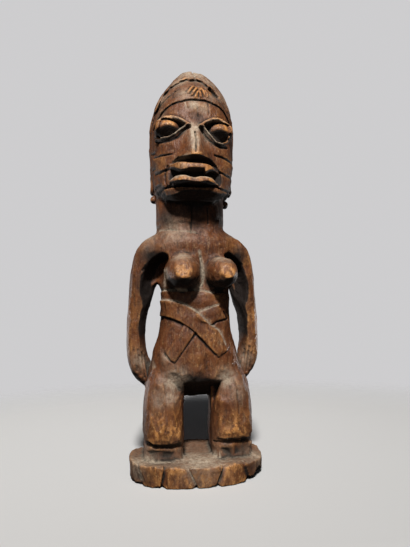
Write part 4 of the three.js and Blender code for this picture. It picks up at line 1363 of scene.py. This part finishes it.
def carved_wood():
    material = bpy.data.materials.new("worn_carved_wood")
    material.use_nodes = True
    tree = material.node_tree
    tree.nodes.clear()
    link = tree.links.new
    out = add_node(tree, "ShaderNodeOutputMaterial")
    shader = add_node(tree, "ShaderNodeBsdfPrincipled")
    link(shader.outputs["BSDF"], out.inputs["Surface"])
    place = add_node(tree, "ShaderNodeTexCoord")

    def marked(name):
        return add_node(tree, "ShaderNodeAttribute", attribute_name=name).outputs["Fac"]

    def noise(scale, stretch=(1, 1, 1), detail=4, rough=0.6, shift=(0, 0, 0)):
        mapping = add_node(tree, "ShaderNodeMapping")
        mapping.inputs["Scale"].default_value = stretch
        mapping.inputs["Location"].default_value = shift
        link(place.outputs["Object"], mapping.inputs["Vector"])
        node = add_node(tree, "ShaderNodeTexNoise")
        node.inputs["Scale"].default_value = scale
        node.inputs["Detail"].default_value = detail
        node.inputs["Roughness"].default_value = rough
        link(mapping.outputs["Vector"], node.inputs["Vector"])
        return node.outputs["Fac"]

    def spanned(value, low, high, to_low=0.0, to_high=1.0):
        return add_range(tree, value, low, high, to_low, to_high).outputs["Result"]

    def math_of(operation, a, b, clamp=False):
        node = add_node(tree, "ShaderNodeMath", operation=operation, use_clamp=clamp)
        for socket, value in zip(node.inputs, (a, b)):
            if isinstance(value, (int, float)):
                socket.default_value = value
            else:
                link(value, socket)
        return node.outputs["Value"]

    def tinted(share, under, over):
        node = add_node(tree, "ShaderNodeMix", data_type="RGBA")
        link(share, node.inputs["Factor"])
        for name, value in (("A", under), ("B", over)):
            socket = next(s for s in node.inputs if s.name == name and s.type == "RGBA")
            if isinstance(value, tuple):
                socket.default_value = (*value, 1)
            else:
                link(value, socket)
        return next(s for s in node.outputs if s.type == "RGBA")

    def both(a, b):
        return math_of("MULTIPLY", a, b, clamp=True)

    # A dark reddish brown, lighter along the fibres, with dark speckles and dents and pale scratches
    broad = spanned(noise(38, detail=3, rough=0.5), 0.38, 0.62)
    patchy = spanned(noise(170, stretch=(1, 1, 0.6), detail=5, rough=0.62, shift=(3, 1, 7)), 0.40, 0.60)
    fine = spanned(noise(520, stretch=(1, 1, 0.45), detail=4, rough=0.7, shift=(9, 2, 4)), 0.36, 0.64)
    fibre = spanned(noise(760, stretch=(1, 1, 0.09), detail=3, rough=0.6), 0.36, 0.64)
    scratches = spanned(noise(420, stretch=(1, 1, 0.16), detail=5, rough=0.75, shift=(6, 3, 8)), 0.56, 0.68)
    dents = spanned(noise(300, stretch=(1, 1, 0.5), detail=4, rough=0.65, shift=(2, 6, 1)), 0.54, 0.64)
    colour = tinted(broad, DARK_BROWN, RED_BROWN)
    colour = tinted(both(patchy, 0.6), colour, WARM_BROWN)
    colour = tinted(both(fibre, 0.2), colour, FIBRE)
    colour = tinted(both(spanned(fine, 0.0, 0.5, 1.0, 0.0), 0.55), colour, SPECKLE)
    colour = tinted(both(dents, 0.4), colour, DENT)
    colour = tinted(both(scratches, 0.4), colour, SCRATCH)
    # Golden on the edges and where worn, and as painted highlight on some tops; nearly black as patina in the
    # recesses and as painted shade; pale with dust and with painted sheen on top
    # worn: gold of wear, and painted highlight where the listed spots lie on lids, eyeballs and lips
    worn = math_of("ADD", both(marked("edge"), 0.6), both(marked("wear_and_highlight"), 1.25))
    torn = spanned(noise(330, stretch=(1, 1, 0.7), detail=5, rough=0.7, shift=(5, 5, 5)), 0.42, 0.56, 0.12)
    worn = both(worn, torn)
    colour = tinted(worn, colour, GOLDEN)
    flecks = spanned(noise(640, detail=3, rough=0.7, shift=(4, 4, 9)), 0.58, 0.68)
    colour = tinted(both(flecks, math_of("ADD", both(worn, 0.8), 0.16)), colour, FLECK)
    # Near black where the patina and the painted shade lie
    dark = spanned(marked("hollow_and_shade"), 0.15, 0.9, 0.0, 0.96)
    colour = tinted(dark, colour, SHADE_AND_PATINA_BLACK)
    uneven = spanned(noise(420, detail=6, rough=0.7, shift=(1, 8, 2)), 0.36, 0.60, 0.3)
    # dust carries both dust and painted sheen
    dust = both(marked("dust_and_sheen"), uneven)
    colour = tinted(dust, colour, PALE_DUST_AND_SHEEN)
    link(colour, shader.inputs["Base Color"])

    rough = math_of("ADD", spanned(fine, 0.0, 1.0, 0.6, 0.42), both(dust, 0.3))
    rough = math_of("SUBTRACT", math_of("ADD", rough, both(dark, 0.3)), both(worn, 0.1), clamp=True)
    link(rough, shader.inputs["Roughness"])
    height = math_of("ADD", both(fibre, 0.2), both(fine, 0.4))
    height = math_of("SUBTRACT", math_of("ADD", height, both(patchy, 0.5)), both(dents, 0.6))
    bump = add_node(tree, "ShaderNodeBump")
    bump.inputs["Strength"].default_value = 0.6
    bump.inputs["Distance"].default_value = 0.0005
    link(height, bump.inputs["Height"])
    link(bump.outputs["Normal"], shader.inputs["Normal"])
    shader.inputs["Specular IOR Level"].default_value = 0.4
    return material


# Floor, light and camera

AIR = (0.9, 0.94, 1, 1)
BACKDROP = (0.615, 0.61, 0.62, 1)
LAMP_AIM = Vector((0, 0, 0.16))
SPOT_AIM = Vector((0, 0, 0.207))
SPOT_FAR = 1.2
SPOT_HEIGHT = 0.035


def add_object(name, data):
    thing = bpy.data.objects.new(name, data)
    bpy.context.scene.collection.objects.link(thing)
    return thing


def pale_floor():
    """A pale disc that fades out into the background.

    Only the camera sees it pale: to the lamps it is dark, so it throws little light back on the figure.
    """
    mesh = bpy.data.meshes.new("pale_floor")
    outline = bmesh.new()
    bmesh.ops.create_circle(outline, cap_ends=True, radius=1.3, segments=96)
    outline.to_mesh(mesh)
    outline.free()
    floor = add_object("pale_floor", mesh)
    material = bpy.data.materials.new("pale_floor")
    material.use_nodes = True
    tree = material.node_tree
    shader = tree.nodes["Principled BSDF"]
    shader.inputs["Roughness"].default_value = 0.85
    shown = add_node(tree, "ShaderNodeLightPath")
    place = add_node(tree, "ShaderNodeTexCoord")
    parts = add_node(tree, "ShaderNodeSeparateXYZ")
    tree.links.new(place.outputs["Object"], parts.inputs["Vector"])
    paler_behind = add_range(tree, parts.outputs["Y"], low=-0.12, high=0.46, to_low=0.61, to_high=1.3)
    tint = add_range(tree, shown.outputs["Is Camera Ray"], low=0, high=1, to_low=0.06)
    tree.links.new(paler_behind.outputs["Result"], tint.inputs["To Max"])
    tree.links.new(tint.outputs["Result"], shader.inputs["Base Color"])
    far = add_node(tree, "ShaderNodeVectorMath", operation="LENGTH")
    tree.links.new(place.outputs["Object"], far.inputs[0])
    fade = add_range(
        tree, far.outputs["Value"], low=0.28, high=0.6, to_low=1, to_high=0, interpolation_type="SMOOTHSTEP"
    )
    tree.links.new(fade.outputs["Result"], shader.inputs["Alpha"])
    mesh.materials.append(material)


def studio_air():
    """A faint cool light from all round, in front of a plain pale background."""
    world = bpy.data.worlds.new("studio")
    bpy.context.scene.world = world
    world.use_nodes = True
    tree = world.node_tree
    tree.nodes.clear()
    out = add_node(tree, "ShaderNodeOutputWorld")
    mix = add_node(tree, "ShaderNodeMixShader")
    seen = add_node(tree, "ShaderNodeLightPath")
    for slot, colour, strength in ((1, AIR, 0.02), (2, BACKDROP, 1)):
        background = add_node(tree, "ShaderNodeBackground")
        background.inputs["Color"].default_value = colour
        background.inputs["Strength"].default_value = strength
        tree.links.new(background.outputs["Background"], mix.inputs[slot])
    tree.links.new(seen.outputs["Is Camera Ray"], mix.inputs["Fac"])
    tree.links.new(mix.outputs["Shader"], out.inputs["Surface"])


def aim(holder, way):
    holder.rotation_euler = way.to_track_quat("-Z", "Y").to_euler()


def soft_lamp(name, lean, turn, far, size, power, colour=(1, 1, 1)):
    """A round lamp: lean from straight above and turn round the figure, both in degrees."""
    lamp = bpy.data.lights.new(name, "AREA")
    lamp.shape, lamp.size, lamp.energy, lamp.color = "DISK", size, power, colour
    holder = add_object(name, lamp)
    lean, turn = math.radians(lean), math.radians(turn)
    way = Vector((math.sin(lean) * math.sin(turn), -math.sin(lean) * math.cos(turn), math.cos(lean)))
    holder.location = LAMP_AIM + way * far
    aim(holder, -way)


def low_spot(name, turn):
    """A spot behind that aims slightly upwards, so it lights the back and the sides but not the floor."""
    spot = bpy.data.lights.new(name, "SPOT")
    spot.spot_size, spot.spot_blend, spot.shadow_soft_size = math.radians(16.6), 0.1, 0.05
    spot.energy = 17
    holder = add_object(name, spot)
    turn = math.radians(turn)
    holder.location = (SPOT_FAR * math.sin(turn), -SPOT_FAR * math.cos(turn), SPOT_HEIGHT)
    aim(holder, SPOT_AIM - holder.location)


def plain_studio():
    """A pale floor and background, a small lamp high in front, a weak one lower, and two spots behind."""
    pale_floor()
    studio_air()
    soft_lamp("high_lamp", lean=45, turn=-8, far=1.3, size=0.15, power=22, colour=(1, 0.98, 0.95))
    soft_lamp("front_lamp", lean=70, turn=-8, far=0.9, size=0.4, power=0.3)
    low_spot("left_back_spot", -130)
    low_spot("right_back_spot", 122)
    bpy.context.scene.view_settings.view_transform = "Standard"


CAMERA_FAR = 0.33
CAMERA_ASIDE = 0.009
CAMERA_HEIGHT = 0.1046
CAMERA_TURN = math.radians(-8)
CAMERA_TILT = math.radians(7.5)
CAMERA_ROLL = math.radians(-1.1)
SENSOR = 36
PHOTO_HEIGHT = 547  # pixels
FOCAL_LENGTH = 420  # in the same pixels


def photo_camera():
    """The photograph's own view: close, from just below the middle, looking up a little."""
    camera = bpy.data.cameras.new("photo_camera")
    camera.sensor_width = SENSOR
    camera.lens = SENSOR * FOCAL_LENGTH / PHOTO_HEIGHT
    camera.clip_start = 0.01
    holder = add_object("photo_camera", camera)
    s, c = math.sin(CAMERA_TURN), math.cos(CAMERA_TURN)
    place = Vector((CAMERA_FAR * s + CAMERA_ASIDE * c, -CAMERA_FAR * c + CAMERA_ASIDE * s, CAMERA_HEIGHT))
    turn = (
        Matrix.Rotation(CAMERA_TURN, 4, "Z")
        @ Matrix.Rotation(math.pi / 2 + CAMERA_TILT, 4, "X")
        @ Matrix.Rotation(CAMERA_ROLL, 4, "Z")
    )
    holder.matrix_world = Matrix.Translation(place) @ turn
    bpy.context.scene.camera = holder


figure = make_figure()
figure.data.materials.append(carved_wood())
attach(figure, "root")
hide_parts("kneeling_figure")
plain_studio()
photo_camera()
bpy.context.view_layer.update()
